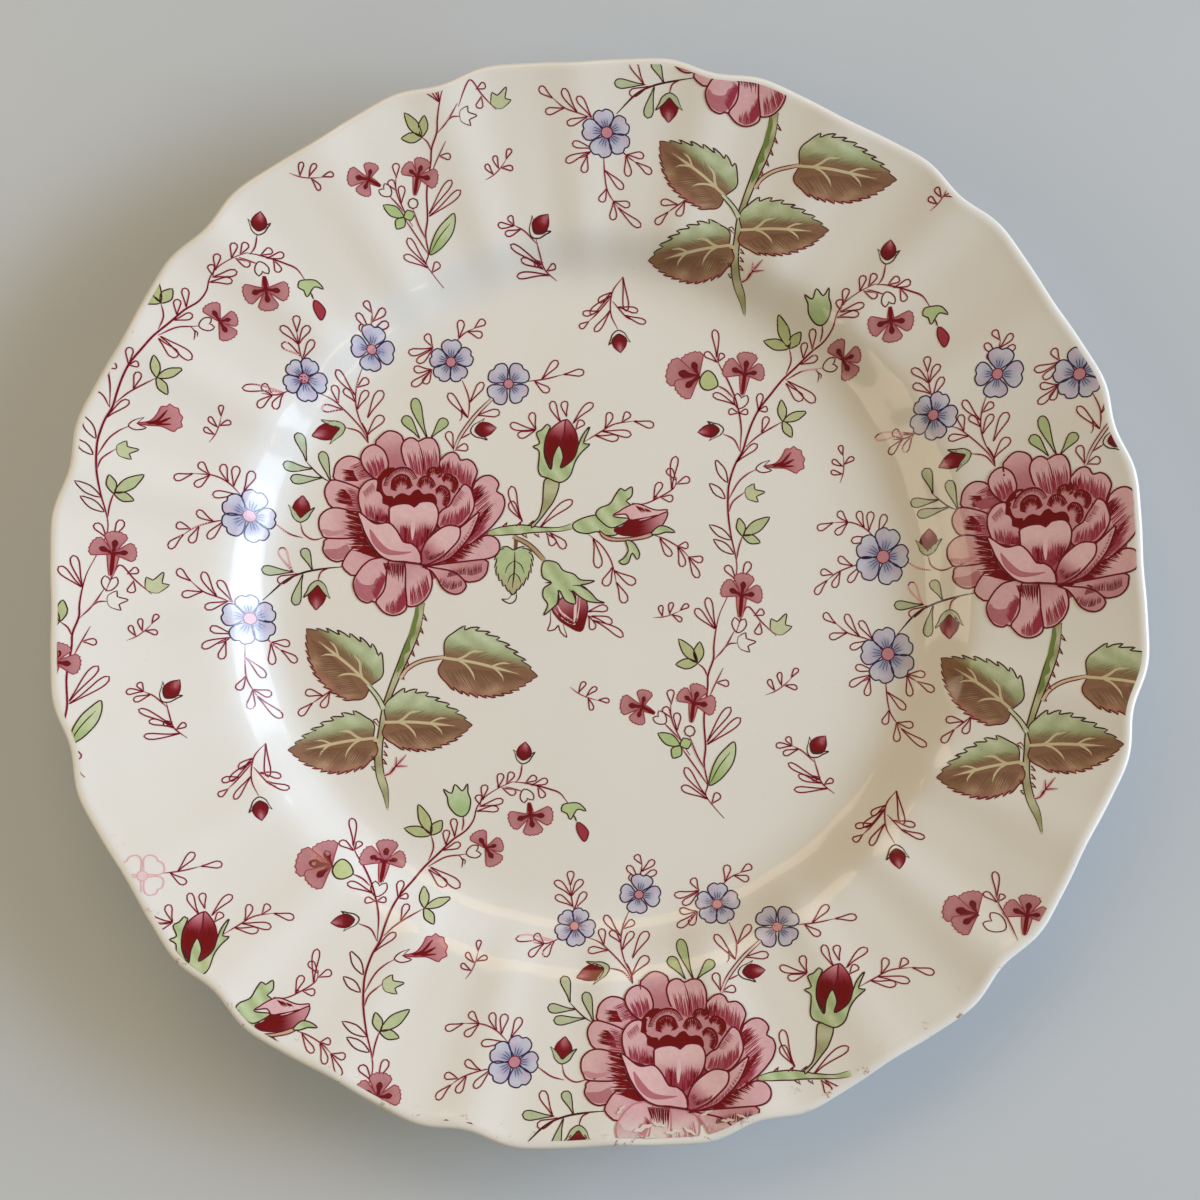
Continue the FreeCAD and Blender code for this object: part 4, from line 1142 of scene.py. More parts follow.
def outlined(canvas, outline, colour, name="brown", width=0.34):
    """A patch of colour with a line round it."""
    outline = sample(outline, 0.55, closed=True)
    canvas.fill(outline, colour)
    canvas.stroke(outline, width, name, closed=True)
    canvas.lift()


def first_bud(canvas):
    """The upright rose bud with its calyx and leaflets."""
    canvas.start(3)
    outlined(canvas, [(-15.2, 19.2), (-13.3, 21.2), (-12.4, 24.6), (-12.2, 28.0), (-11.6, 30.6), (-8.4, 29.8),
                      (-9.4, 25.6), (-11.4, 22.6), (-13.4, 20.0), (-15.0, 18.4)], stem_colour)
    outlined(canvas, [(-10.5, 33.8), (-12.0, 37.1), (-12.0, 39.6), (-11.0, 42.2), (-8.8, 44.3), (-6.6, 45.2),
                      (-6.9, 43.0), (-7.4, 40.0), (-8.3, 38.0), (-9.0, 35.0)],
             crimson_rule((-9.6, 33.6), (-8.0, 46.0)), "crimson")
    outlined(canvas, [(-6.7, 45.3), (-4.6, 42.8), (-3.8, 40.0), (-4.0, 37.1), (-5.5, 35.0), (-8.0, 33.0),
                      (-7.9, 36.2), (-8.0, 38.8), (-7.2, 41.7)],
             crimson_rule((-6.6, 33.0), (-5.6, 48.0)), "crimson")
    comb(canvas, [(-11.4, 38.0), (-10.2, 35.6), (-9.0, 37.4)], [(-10.6, 41.6), (-9.0, 42.0), (-8.0, 41.0)],
         12, 0.4)
    comb(canvas, [(-7.6, 35.6), (-6.0, 35.2), (-4.6, 37.2)], [(-7.2, 41.0), (-5.8, 42.4), (-4.4, 40.6)], 10,
         0.4)
    outlined(canvas, [(-14.8, 38.6), (-13.4, 37.6), (-13.3, 35.8), (-13.5, 33.0), (-12.8, 31.4),
                      (-11.2, 30.8), (-8.4, 29.7), (-6.8, 30.2), (-5.5, 31.6), (-4.4, 34.8), (-2.9, 37.1),
                      (-0.8, 39.2), (-2.4, 39.4), (-0.9, 43.4), (-2.6, 41.4), (-3.6, 39.0), (-4.4, 36.4),
                      (-5.8, 34.6), (-8.0, 33.3), (-7.4, 36.0), (-8.4, 38.8), (-9.8, 36.2), (-10.4, 32.9),
                      (-12.0, 36.4), (-11.8, 40.4), (-10.6, 43.6), (-11.4, 44.1), (-12.6, 42.8),
                      (-14.0, 41.9), (-13.2, 39.4)], green_rule)
    canvas.stroke([(-10.4, 32.9), (-10.8, 34.6), (-11.6, 36.4)], 0.34, "brown")
    for base, tip in (((-8.0, 44.6), (-10.3, 49.8)), ((-6.6, 46.0), (-7.2, 49.8)), ((-5.0, 44.3),
                                                                                    (-0.2, 49.3)),
                      ((-4.4, 42.6), (-2.5, 44.9))):
        leaflet(canvas, base, tip)
    for tip in ((-20.5, 44.1), (-15.2, 47.0), (-18.6, 41.3)):
        leaflet(canvas, (-14.1, 42.8), tip)
    spray(canvas, [(-2.1, 39.8), (1.3, 41.9), (5.1, 44.1), (9.8, 44.9)],
          [(4.1, 47.0), (6.2, 40.7), (8.7, 47.0), (9.3, 41.5), (14.8, 43.8)])


def second_bud(canvas):
    """The bud that lies to the right, half open."""
    canvas.start(3)
    outlined(canvas, [(-4.9, 19.2), (-3.0, 20.6), (0.9, 21.6), (4.0, 20.8), (6.0, 19.0), (6.0, 16.8),
                      (3.0, 16.6), (1.2, 17.5), (-1.4, 17.0), (-4.0, 17.6)], green_rule)
    outlined(canvas, [(0.9, 21.4), (1.6, 23.2), (4.2, 24.4), (5.6, 26.6), (6.8, 28.2), (7.8, 27.6),
                      (8.4, 27.9), (9.6, 28.6), (9.6, 26.4), (8.2, 25.0), (9.2, 24.2), (6.8, 22.6),
                      (5.0, 21.4), (6.4, 21.0), (8.9, 20.6), (6.4, 18.9), (4.0, 18.6)], green_rule)
    outlined(canvas, [(5.1, 21.6), (6.4, 22.4), (8.1, 23.5), (11.0, 24.4), (15.3, 22.9), (18.4, 22.9),
                      (16.5, 21.4), (12.3, 20.2), (9.4, 20.2), (8.2, 21.8)], shade_along((8.0, 21.5),
                                                                                         (18.4, 22.5),
                                                                                         (208, 168, 172),
                                                                                         (214, 182, 182)),
             "crimson")
    comb(canvas, [(10.6, 23.9), (13.6, 23.0)], [(12.2, 22.0), (14.6, 22.2)], 7, 0.4)
    outlined(canvas, [(5.3, 18.0), (6.8, 16.8), (10.2, 16.5), (14.4, 17.2), (17.0, 18.9), (18.4, 22.3),
                      (14.8, 21.0), (12.0, 20.1), (8.9, 20.4), (7.4, 18.8)], shade_along((7.4, 18.0),
                                                                                         (17.8, 21.0),
                                                                                         (100, 10, 18),
                                                                                         (192, 138, 146),
                                                                                         0.2, 1.0),
             "crimson")
    comb(canvas, [(8.4, 19.6), (7.0, 17.4)], [(13.4, 20.0), (13.0, 17.4)], 12, 0.4)
    comb(canvas, [(9.0, 20.3), (14.4, 21.2)], [(12.0, 20.4), (17.8, 22.2)], 6, 0.45)
    outlined(canvas, [(1.7, 17.8), (3.2, 16.6), (6.0, 15.9), (10.4, 16.2), (14.0, 17.2), (17.2, 18.6),
                      (20.3, 17.4), (17.0, 17.6), (13.6, 16.0), (10.6, 15.4), (8.2, 15.2), (4.6, 15.2),
                      (2.4, 16.2)], (182, 158, 134), "crimson", 0.3)
    outlined(canvas, [(14.4, 17.0), (16.4, 18.9), (18.6, 18.6), (20.2, 17.4), (18.0, 17.4), (16.0, 16.8)],
             green_rule)
    outlined(canvas, [(8.2, 15.2), (8.8, 12.8), (7.6, 10.8), (6.6, 10.2), (7.4, 9.4), (8.8, 9.8), (9.8, 12.2),
                      (11.0, 10.6), (11.6, 12.0), (10.6, 14.2), (9.4, 15.2)], green_rule)
    spray(canvas, [(9.6, 24.6), (12.7, 24.4), (16.5, 26.1), (19.9, 28.4), (20.6, 31.0)],
          [(15.6, 26.2), (19.7, 25.7), (16.7, 29.7), (23.7, 30.7), (18.4, 33.1), (20.3, 36.2)])
    spray(canvas, [(14.8, 16.8), (18.2, 15.5), (21.6, 13.4), (23.6, 11.4)],
          [(23.5, 14.2), (19.3, 11.5), (27.1, 10.6), (22.2, 8.9), (26.0, 6.2)])
    spray(canvas, [(-1.2, 17.0), (2.1, 14.2), (4.3, 10.9), (5.3, 7.9), (5.9, 5.0)],
          [(1.5, 8.5), (3.0, 4.1), (10.6, 4.7), (8.1, -0.1)], leaf_width=2.1)


def third_bud(canvas):
    """The bud that hangs below the branch."""
    canvas.start(3)
    double_stroke(canvas, [(-19.6, 16.4), (-15.6, 14.2), (-11.8, 10.4)], (0.9, 1.1), "umber", 0.34,
                  (166, 146, 112))
    outlined(canvas, [(-9.9, -1.6), (-8.6, 0.2), (-6.6, 1.6), (-4.2, 2.4), (-2.3, 2.0), (-1.2, -1.0),
                      (-1.7, -4.4), (-2.9, -7.1), (-6.3, -5.6), (-8.4, -4.0)], shade_along((-5.5, 2.0),
                                                                                           (-3.5, -7.0),
                                                                                           (170, 110, 118),
                                                                                           (104, 8, 16), 0.1,
                                                                                           0.8), "crimson")
    canvas.stroke([(-8.6, -0.8), (-7.4, -2.8), (-4.6, -4.6), (-4.2, -1.4), (-3.8, 1.6)], 0.7, "pale",
                  taper=(0.4, 0.4))
    canvas.stroke([(-9.3, -1.8), (-7.9, -3.6), (-4.4, -5.4), (-3.4, -2.0), (-3.0, 1.6)], 0.25, "pale",
                  taper=(0.4, 0.4))
    comb(canvas, [(-8.4, -3.4), (-5.6, -5.2), (-3.2, -6.4)], [(-8.0, -2.2), (-5.2, -3.8), (-3.2, -3.0)], 12,
         0.5)
    outlined(canvas, [(-11.6, 10.3), (-8.8, 9.8), (-7.2, 7.9), (-4.6, 7.0), (-2.9, 5.6), (0.5, 5.3),
                      (-1.6, 4.5), (-3.0, 4.2), (-0.6, 2.6), (1.2, 0.6), (3.0, -0.1), (-0.8, 0.2),
                      (-3.4, 1.6), (-5.0, 3.0), (-4.3, 1.0), (-4.2, -0.4), (-6.6, 0.4), (-8.2, 3.0),
                      (-8.6, 0.0), (-9.4, -1.0), (-12.0, -3.1), (-11.0, -0.6), (-12.2, 1.5), (-11.9, 3.6),
                      (-10.1, 4.9), (-12.2, 6.2), (-12.5, 8.8)], green_rule)
    for points in ([(-8.6, 3.1), (-8.2, 1.2), (-8.5, -0.6)], [(-5.8, 3.2), (-4.2, 1.6), (-4.1, -0.2)],
                   [(-4.9, 4.2), (-2.2, 3.9), (0.2, 1.6)], [(-10.1, 4.9), (-11.6, 4.9)]):
        canvas.stroke(points, 0.34, "brown")
    for stem, tip in (((-1.2, -2.4), (3.8, -1.4)), ((-0.4, -3.4), (4.9, -5.0)), ((0.0, -4.4), (7.6, -8.4)),
                      ((-1.0, -3.2), (0.2, -6.7))):
        leaflet(canvas, stem, tip)
    canvas.stroke([(-10.3, -2.2), (-10.4, -5.0), (-11.0, -6.9), (-9.2, -6.6), (-8.4, -5.6), (-7.9, -7.2),
                   (-6.3, -8.6), (-6.9, -6.4), (-7.2, -5.4)], 0.32, "crimson")


def branch(canvas):
    """The thorny green branch that carries the three rose buds, with its own leaflets."""
    canvas.start(1)
    double_stroke(canvas, [(-27.2, 16.7), (-23.2, 17.6), (-17.3, 18.1), (-12.6, 18.0), (-8.0, 18.1),
                           (-4.6, 19.0)], (0.6, 2.0, 2.4, 1.3, 0.9, 1.4), "brown", 0.32, green_rule)
    thorns(canvas, [(-23.5, 18.6), (-14.0, 19.2)], 1.0, 1.2, 3)
    thorns(canvas, [(-18.0, 16.8), (-10.0, 17.2)], -1.0, 1.0, 3)
    for tip, joint in (((-5.0, 25.2), (-13.1, 18.3)), ((-6.7, 13.4), (-10.5, 17.2)), ((-9.5, 14.2),
                                                                                      (-11.4, 17.0)),
                       ((-20.1, 28.8), (-17.3, 20.0)), ((-20.3, 25.0), (-17.4, 20.4))):
        leaflet(canvas, joint, tip, 2.0)


def hanging_leaf(canvas):
    """The small toothed leaf that hangs from the branch."""
    canvas.start(2)
    canvas.stroke([(-19.2, 17.0), (-18.9, 14.8), (-19.2, 12.4)], 0.9, "umber")
    hanging = local((-19.3, 13.0), (-19.7, 2.0), [(0.0, 0.0), (-0.04, 0.18), (0.08, 0.36), (0.3, 0.38),
                                                  (0.5, 0.34), (0.7, 0.24), (0.88, 0.1), (1.0, 0.0),
                                                  (0.86, -0.12), (0.68, -0.26), (0.48, -0.36), (0.26, -0.38),
                                                  (0.08, -0.36), (-0.04, -0.18)])
    ring = sample(hanging, 0.5, closed=True)
    half = len(ring) // 2
    teeth = np.concatenate([serrate(ring[:half], 0.6, 1.7, 0.8), serrate(ring[half:][::-1], -0.6, 1.7,
                                                                         -0.8)[::-1]])
    canvas.fill(teeth, shade_along((-19.3, 13.0), (-19.7, 2.0), (168, 184, 138), (170, 158, 124), 0.4, 1.0))
    canvas.stroke(teeth, 0.34, "brown", closed=True)
    canvas.stroke([(-19.2, 12.6), (-19.3, 8.0), (-19.8, 3.6)], 0.4, "brown")
    for out in (-1, 1):
        canvas.stroke([(-19.2, 10.4), (-19.2 + 1.6 * out, 9.2), (-19.2 + 2.4 * out, 7.2)], 0.26, "brown")
        canvas.stroke([(-19.3, 7.4), (-19.3 + 1.2 * out, 6.2), (-19.3 + 1.6 * out, 4.8)], 0.26, "brown")
    canvas.stroke([(-18.8, 3.2), (-18.9, 0.8), (-20.4, -0.2), (-22.4, 0.9), (-20.8, 0.9), (-19.8, 2.2)], 0.3,
                  "brown")


def all_buds(canvas):
    """The branch with its three buds."""
    branch(canvas)
    hanging_leaf(canvas)
    second_bud(canvas)
    third_bud(canvas)
    first_bud(canvas)


def red_bud(canvas, tip, base, width=4.2, calyx=None, stem=None):
    """A small crimson bud in a cupped calyx."""
    canvas.start(0)
    if stem:
        vine_stroke(canvas, stem)
    canvas.start(2)
    length = math.dist(base, tip)
    half = 0.5 * width / length
    cup = [(0.52, 1.5 * half), (0.26, 1.15 * half), (0.0, 0.85 * half), (-0.17, 0.3 * half), (-0.2, 0.0),
           (-0.17, -0.3 * half), (0.0, -0.85 * half), (0.26, -1.15 * half), (0.52, -1.5 * half),
           (0.34, -0.86 * half), (0.14, -0.36 * half), (0.0, 0.0), (0.14, 0.36 * half), (0.34, 0.86 * half)]
    outline = sample(local(base, tip, [(0.0, 0.0), (0.18, 0.75 * half), (0.38, half), (0.68, 0.78 * half),
                                       (0.88, 0.32 * half), (1.0, 0.0), (0.88, -0.32 * half),
                                       (0.68, -0.78 * half), (0.38, -half), (0.18, -0.75 * half)]), 0.45,
                     closed=True)

    def tint(points):
        along, out = shares(points, base, tip)
        glow = smooth_step((along - 0.35) / 0.4) * smooth_step((0.8 * half - np.abs(out)) / half)
        return blend((112, 12, 24), (190, 132, 140), glow)

    canvas.fill(outline, tint, 0.8)
    canvas.stroke(outline, 0.28, "crimson", closed=True)
    cup_outline = local(base, tip, cup)
    if calyx is not None:
        canvas.fill(cup_outline, calyx, 1.0)
    canvas.stroke(np.concatenate([cup_outline, cup_outline[:1]]), 0.3, "brown", spacing=0.5)


# ---------------------------------------------------------------------------
# Blue flowers
# ---------------------------------------------------------------------------

def blue_flower(canvas, centre, radius, turn=0.0, petals=5, filled=True):
    """A small blue flower with heart-shaped petals and a pink eye."""
    radius *= canvas.bloom
    wide = 1.26 if petals == 4 else 1.08
    heart = [(0.1, 0.0), (0.26, 0.14), (0.42, 0.29), (0.6, 0.39), (0.8, 0.39), (0.95, 0.25), (0.99, 0.12),
             (0.93, 0.0), (0.99, -0.12), (0.95, -0.25), (0.8, -0.39), (0.6, -0.39), (0.42, -0.29),
             (0.26, -0.14)]
    for index in range(petals):
        canvas.start(3)
        wobble = 7.0 * (jitter(index + 2.0 * centre[0]) - 0.5)
        angle = math.radians(turn + wobble) + 2 * math.pi * index / petals
        reach = radius * (0.94 + 0.14 * jitter(index + centre[0]))
        tip = (centre[0] + reach * math.cos(angle), centre[1] + reach * math.sin(angle))
        outline = sample(local(centre, tip, [(along, out * wide) for along, out in heart]), 0.4, closed=True)
        if filled:
            def tint(points, tip=tip):
                along, out = shares(points, centre, tip)
                middle = smooth_step((0.24 - np.abs(out)) / 0.3)
                deep = smooth_step((0.84 - along) / 0.6) * (0.3 + 0.6 * middle)
                edge = blend(BLUE_PALE, (188, 168, 184), smooth_step((out + 0.1) / 0.4) * 0.6)
                share = np.clip(deep, 0, 1)[:, None]
                return edge * (1 - share) + np.array(BLUE_DARK, float) * share
            canvas.fill(outline, tint, 0.8)
        canvas.stroke(outline, 0.34, "navy" if filled else "pink", closed=True)
        if filled:
            for side in (-0.14, 0.0, 0.14):
                canvas.stroke(local(centre, tip, [(0.26, side * 0.5), (0.58, side)]), 0.16, "navy",
                              taper=(1.0, 0.2))
    canvas.start(6)
    eye = [(centre[0] + 0.24 * radius * math.cos(step), centre[1] + 0.24 * radius * math.sin(step))
           for step in np.arange(8) * math.pi / 4]
    canvas.patch(eye, (182, 126, 136) if filled else (214, 190, 186), 0.4, 0.7)
    canvas.stroke(eye, 0.28, "crimson" if filled else "pink", closed=True)


def flower_one(canvas):
    spray(canvas, [(-54.3, 65.8), (-53.9, 68.0), (-53.6, 69.8)],
          [(-55.2, 72.4), (-50.7, 71.0), (-57.2, 69.6), (-50.1, 68.2), (-56.8, 66.8)], leaf_width=1.6)
    spray(canvas, [(-56.0, 42.2), (-57.7, 46.0), (-58.5, 49.8), (-58.1, 54.0), (-56.6, 58.1)],
          [(-62.6, 56.8), (-55.4, 55.3), (-61.1, 52.8), (-55.6, 52.6)])
    loops(canvas, [((-52.0, 52.6), (-55.6, 46.0)), ((-51.8, 46.4), (-55.8, 41.6))], 2.2)
    vine_stroke(canvas, [(-55.4, 39.7), (-55.9, 42.4), (-57.0, 44.8)], 0.5)
    blue_flower(canvas, (-54.3, 62.1), 4.9, 80, 4)


def flower_two(canvas):
    spray(canvas, [(-70.2, 58.3), (-70.8, 61.0), (-71.2, 64.6)],
          [(-74.8, 62.0), (-75.0, 65.9), (-71.2, 68.4), (-67.4, 62.9), (-68.3, 66.1)])
    spray(canvas, [(-73.1, 51.3), (-76.3, 50.0), (-79.7, 50.2)],
          [(-84.1, 51.3), (-79.5, 52.3), (-80.6, 46.9), (-76.9, 46.7)])
    spray(canvas, [(-55.4, 39.7), (-56.6, 42.6), (-58.8, 45.4), (-61.9, 48.5), (-64.0, 50.2), (-66.8, 51.3)],
          [(-63.4, 53.4), (-66.4, 48.0)])
    blue_flower(canvas, (-70.0, 54.2), 4.9, 62)


def flower_three(canvas):
    for tip in ((-41.2, 66.3), (-45.6, 61.9), (-43.5, 59.5)):
        leaflet(canvas, (-39.6, 63.2), tip)
    for tip in ((-44.3, 58.0), (-44.8, 53.8), (-41.8, 54.3)):
        leaflet(canvas, (-40.0, 57.8), tip)
    spray(canvas, [(-34.0, 64.6), (-32.0, 66.6), (-29.6, 67.8)], [(-27.0, 69.7), (-32.8, 69.8),
                                                                  (-27.6, 66.0)])
    spray(canvas, [(-30.9, 45.8), (-30.6, 48.6), (-30.9, 51.3), (-32.4, 55.1)], [(-35.8, 51.9),
                                                                                 (-27.3, 54.5)])
    canvas.stroke([(-30.9, 45.8), (-31.8, 46.6), (-32.6, 48.0), (-32.4, 46.0), (-33.0, 45.0)], 0.3, "crimson")
    blue_flower(canvas, (-35.2, 59.6), 5.3, 90)


def flower_four(canvas, filled=True):
    """The flower on the rose's right, or only its outline and sprig."""
    if filled:
        double_stroke(canvas, [(-34.3, 37.6), (-32.8, 41.2), (-29.2, 46.2), (-25.0, 50.5)],
                      (0.5, 0.8, 0.8, 0.7), "crimson", 0.28, (206, 186, 178))
        loops(canvas, [((-35.8, 42.4), (-34.4, 38.0)), ((-30.9, 38.6), (-34.2, 37.8)), ((-23.1, 47.1),
                                                                                        (-29.0, 46.4))])
    spray(canvas, [(-16.5, 54.7), (-12.0, 55.3), (-7.6, 56.4)], [(-9.0, 59.8), (-11.0, 52.2), (-2.5, 57.0)])
    blue_flower(canvas, (-21.0, 54.1), 5.2, 45, 4, filled)


def outline_flower(canvas):
    flower_four(canvas, filled=False)


def flower_five(canvas):
    spray(canvas, [(-84.9, 26.0), (-87.7, 28.9), (-91.1, 30.6), (-95.7, 31.0)],
          [(-100.0, 29.8), (-94.3, 33.6), (-95.3, 28.0), (-89.0, 33.3), (-91.3, 26.0)])
    loops(canvas, [((-85.8, 32.9), (-86.6, 28.0)), ((-82.2, 31.9), (-84.4, 27.0))])
    spray(canvas, [(-87.9, 20.0), (-91.1, 19.6), (-95.3, 18.3), (-98.0, 16.6)],
          [(-94.9, 22.0), (-99.7, 18.8), (-101.4, 13.3), (-96.6, 14.6), (-92.6, 15.6)])
    vine_stroke(canvas, [(-77.8, 20.0), (-74.6, 17.7), (-71.4, 16.7)])
    blue_flower(canvas, (-83.3, 21.3), 6.0, 70)


def flower_six(canvas):
    spray(canvas, [(-87.1, 0.4), (-89.8, 1.4), (-93.6, 2.9), (-96.4, 5.4)],
          [(-99.5, 8.2), (-93.8, 7.6), (-98.4, 2.1), (-90.3, 5.6), (-93.2, -1.0)])
    spray(canvas, [(-87.0, -7.2), (-88.6, -8.8), (-90.4, -9.6)], [(-92.1, -5.8), (-94.0, -10.4),
                                                                  (-89.7, -13.2)])
    spray(canvas, [(-80.3, -7.5), (-78.4, -9.4), (-76.8, -10.6)], [(-74.6, -9.2), (-78.6, -14.2),
                                                                   (-72.9, -13.6)])
    spray(canvas, [(-84.5, -8.0), (-84.5, -13.4), (-83.9, -18.0), (-81.6, -22.0)],
          [(-85.8, -20.6), (-80.1, -17.4), (-83.0, -25.2), (-78.6, -21.6), (-76.1, -27.1)])
    blue_flower(canvas, (-83.5, -3.2), 6.0, 100)


def low_branch(canvas):
    """The dark branch at the rose's lower left, with green and plain leaflets."""
    canvas.start(0)
    canvas.stroke([(-61.5, 9.4), (-65.7, 9.1), (-71.2, 8.2), (-75.9, 6.1), (-80.9, 1.4)], 0.5, "brown")
    loops(canvas, [((-71.4, 14.1), (-69.1, 8.7)), ((-81.1, 8.9), (-73.6, 8.4)), ((-73.3, 0.2),
                                                                                 (-71.4, 7.8))], 2.3,
          LEAFLET_GREEN, "brown")
    loops(canvas, [((-76.7, 14.3), (-74.0, 8.6)), ((-77.5, 6.1), (-72.6, 8.0))], 2.0)


def rose_greens(canvas):
    """Pale green leaflets that stand out behind the rose."""
    spray(canvas, [(-64.6, 30.2), (-66.6, 31.4), (-68.3, 32.9), (-70.4, 35.2)],
          [(-72.1, 41.8), (-75.7, 34.2), (-66.8, 37.8), (-74.2, 31.0)], 0.34, 2.3, LEAFLET_GREEN, "brown")
    loops(canvas, [((-44.2, 50.7), (-40.9, 40.8)), ((-46.8, 46.2), (-42.8, 40.8)), ((-36.2, 45.5),
                                                                                    (-40.0, 40.9))], 2.5,
          (166, 180, 132), "brown")


# ---------------------------------------------------------------------------
# The vine
# ---------------------------------------------------------------------------

def frilled_petal(canvas, centre, tip, wide):
    """A vine flower's petal with its frilled end and dark spot."""
    half_fan = [(0.02, 0.05), (0.36, 0.24), (0.58, 0.8 * wide), (0.7, 0.94 * wide), (0.8, 1.02 * wide),
                (0.87, 0.9 * wide), (0.96, 0.8 * wide), (0.95, 0.6 * wide), (1.03, 0.42 * wide),
                (1.0, 0.2 * wide)]
    fan = half_fan + [(1.04, 0.0)] + [(along, -out) for along, out in reversed(half_fan)]
    outline = sample(local(centre, tip, fan), 0.4, closed=True)
    canvas.fill(outline, shade_along(centre, tip, (158, 92, 98), VINE_PINK, 0.1, 0.9), 1.0)
    canvas.stroke(outline, 0.24, "rose", closed=True)
    drop = local(centre, tip, [(-0.04, 0.06), (0.3, 0.08), (0.46, 0.14), (0.6, 0.09), (0.66, 0.0),
                               (0.6, -0.09), (0.46, -0.14), (0.3, -0.08), (-0.04, -0.06)])
    canvas.patch(drop, VINE_DARK, 0.35, 1.2)


def vine_flower(canvas, centre, tips, tube=None):
    """A frilled pink flower of the vine, seen face on or from the side."""
    canvas.start(2)
    if tube:
        side = local(centre, tube, [(-0.1, 0.26), (0.4, 0.2), (1.0, 0.1), (1.0, -0.1), (0.4, -0.2),
                                    (-0.1, -0.26)])
        canvas.patch(side, (172, 112, 116), 0.4)
        canvas.stroke([side[0], side[1], side[2]], 0.24, "rose")
        canvas.stroke([side[5], side[4], side[3]], 0.24, "rose")
    for tip in tips:
        frilled_petal(canvas, centre, tip, 0.46)
    if tube:
        canvas.stroke([centre, tube], 0.9, "deep", taper=(1.0, 0.5))


def heart_calyx(canvas, base, towards, size=3.0):
    """The plain heart-shaped cup behind a vine flower."""
    canvas.start(1)
    base, towards = np.asarray(base, float), np.asarray(towards, float)
    reach = towards - base
    tip = base + reach / np.linalg.norm(reach) * size
    canvas.stroke(local(base, tip, [(-0.3, 0.0), (0.0, 0.42), (0.5, 0.62), (0.95, 0.42), (0.8, 0.12),
                                    (0.62, 0.0), (0.8, -0.12), (0.95, -0.42), (0.5, -0.62), (0.0, -0.42)]),
                  0.3, "crimson", closed=True)


def pointed_leaf(canvas, base, tip, width=2.6, colour=None, name="crimson"):
    """A small pointed leaf."""
    canvas.start(1)
    half = 0.5 * width / math.dist(base, tip)
    outline = sample(local(base, tip, [(0.0, 0.0), (0.2, 0.62 * half), (0.5, half), (0.78, 0.62 * half),
                                       (1.0, 0.0), (0.78, -0.62 * half), (0.5, -half), (0.2, -0.62 * half)]),
                     0.5, closed=True)
    if colour is not None:
        canvas.fill(outline, colour, 1.5)
    canvas.stroke(outline[::2], 0.32, name, closed=True)


def three_leaves(canvas, joint, tips, stalk, colour=(170, 178, 128), width=2.6):
    """Three green leaves on a stalk."""
    canvas.start(0)
    vine_stroke(canvas, stalk)
    for tip in tips:
        pointed_leaf(canvas, joint, tip, width, colour, "brown")


def tulip_leaf(canvas, base, tip, width):
    """A green leaf cupped like a tulip with two outer points."""
    canvas.start(1)
    half = 0.5 * width / math.dist(base, tip)
    cup = [(0.0, 0.0), (0.12, 0.6 * half), (0.42, half), (0.68, 0.94 * half), (0.94, 1.1 * half),
           (0.76, 0.5 * half), (1.0, 0.0), (0.76, -0.5 * half), (0.94, -1.1 * half), (0.68, -0.94 * half),
           (0.42, -half), (0.12, -0.6 * half)]
    outlined(canvas, local(base, tip, cup), shade_along(base, tip, (160, 184, 134), (192, 204, 172), 0.2,
                                                        1.0))


def ivy_leaf(canvas, base, tip, width, colour=None):
    """A three-pointed ivy leaf."""
    canvas.start(1)
    half = 0.5 * width / math.dist(base, tip)
    points = local(base, tip, [(0.0, 0.0), (0.05, 0.7 * half), (0.5, 1.2 * half), (0.5, 0.5 * half),
                               (1.0, 0.0), (0.55, -0.5 * half), (0.62, -1.2 * half), (0.1, -0.7 * half)])
    outline = np.concatenate([sample(points[index:index + 2], 0.8)[:-1] for index in range(len(points) - 1)]
                             + [sample([points[-1], points[0]], 0.8)[:-1]])
    if colour is not None:
        canvas.fill(outline, colour, 1.5)
    canvas.stroke(np.concatenate([points, points[:1]]), 0.3, "brown" if colour is not None else "crimson")


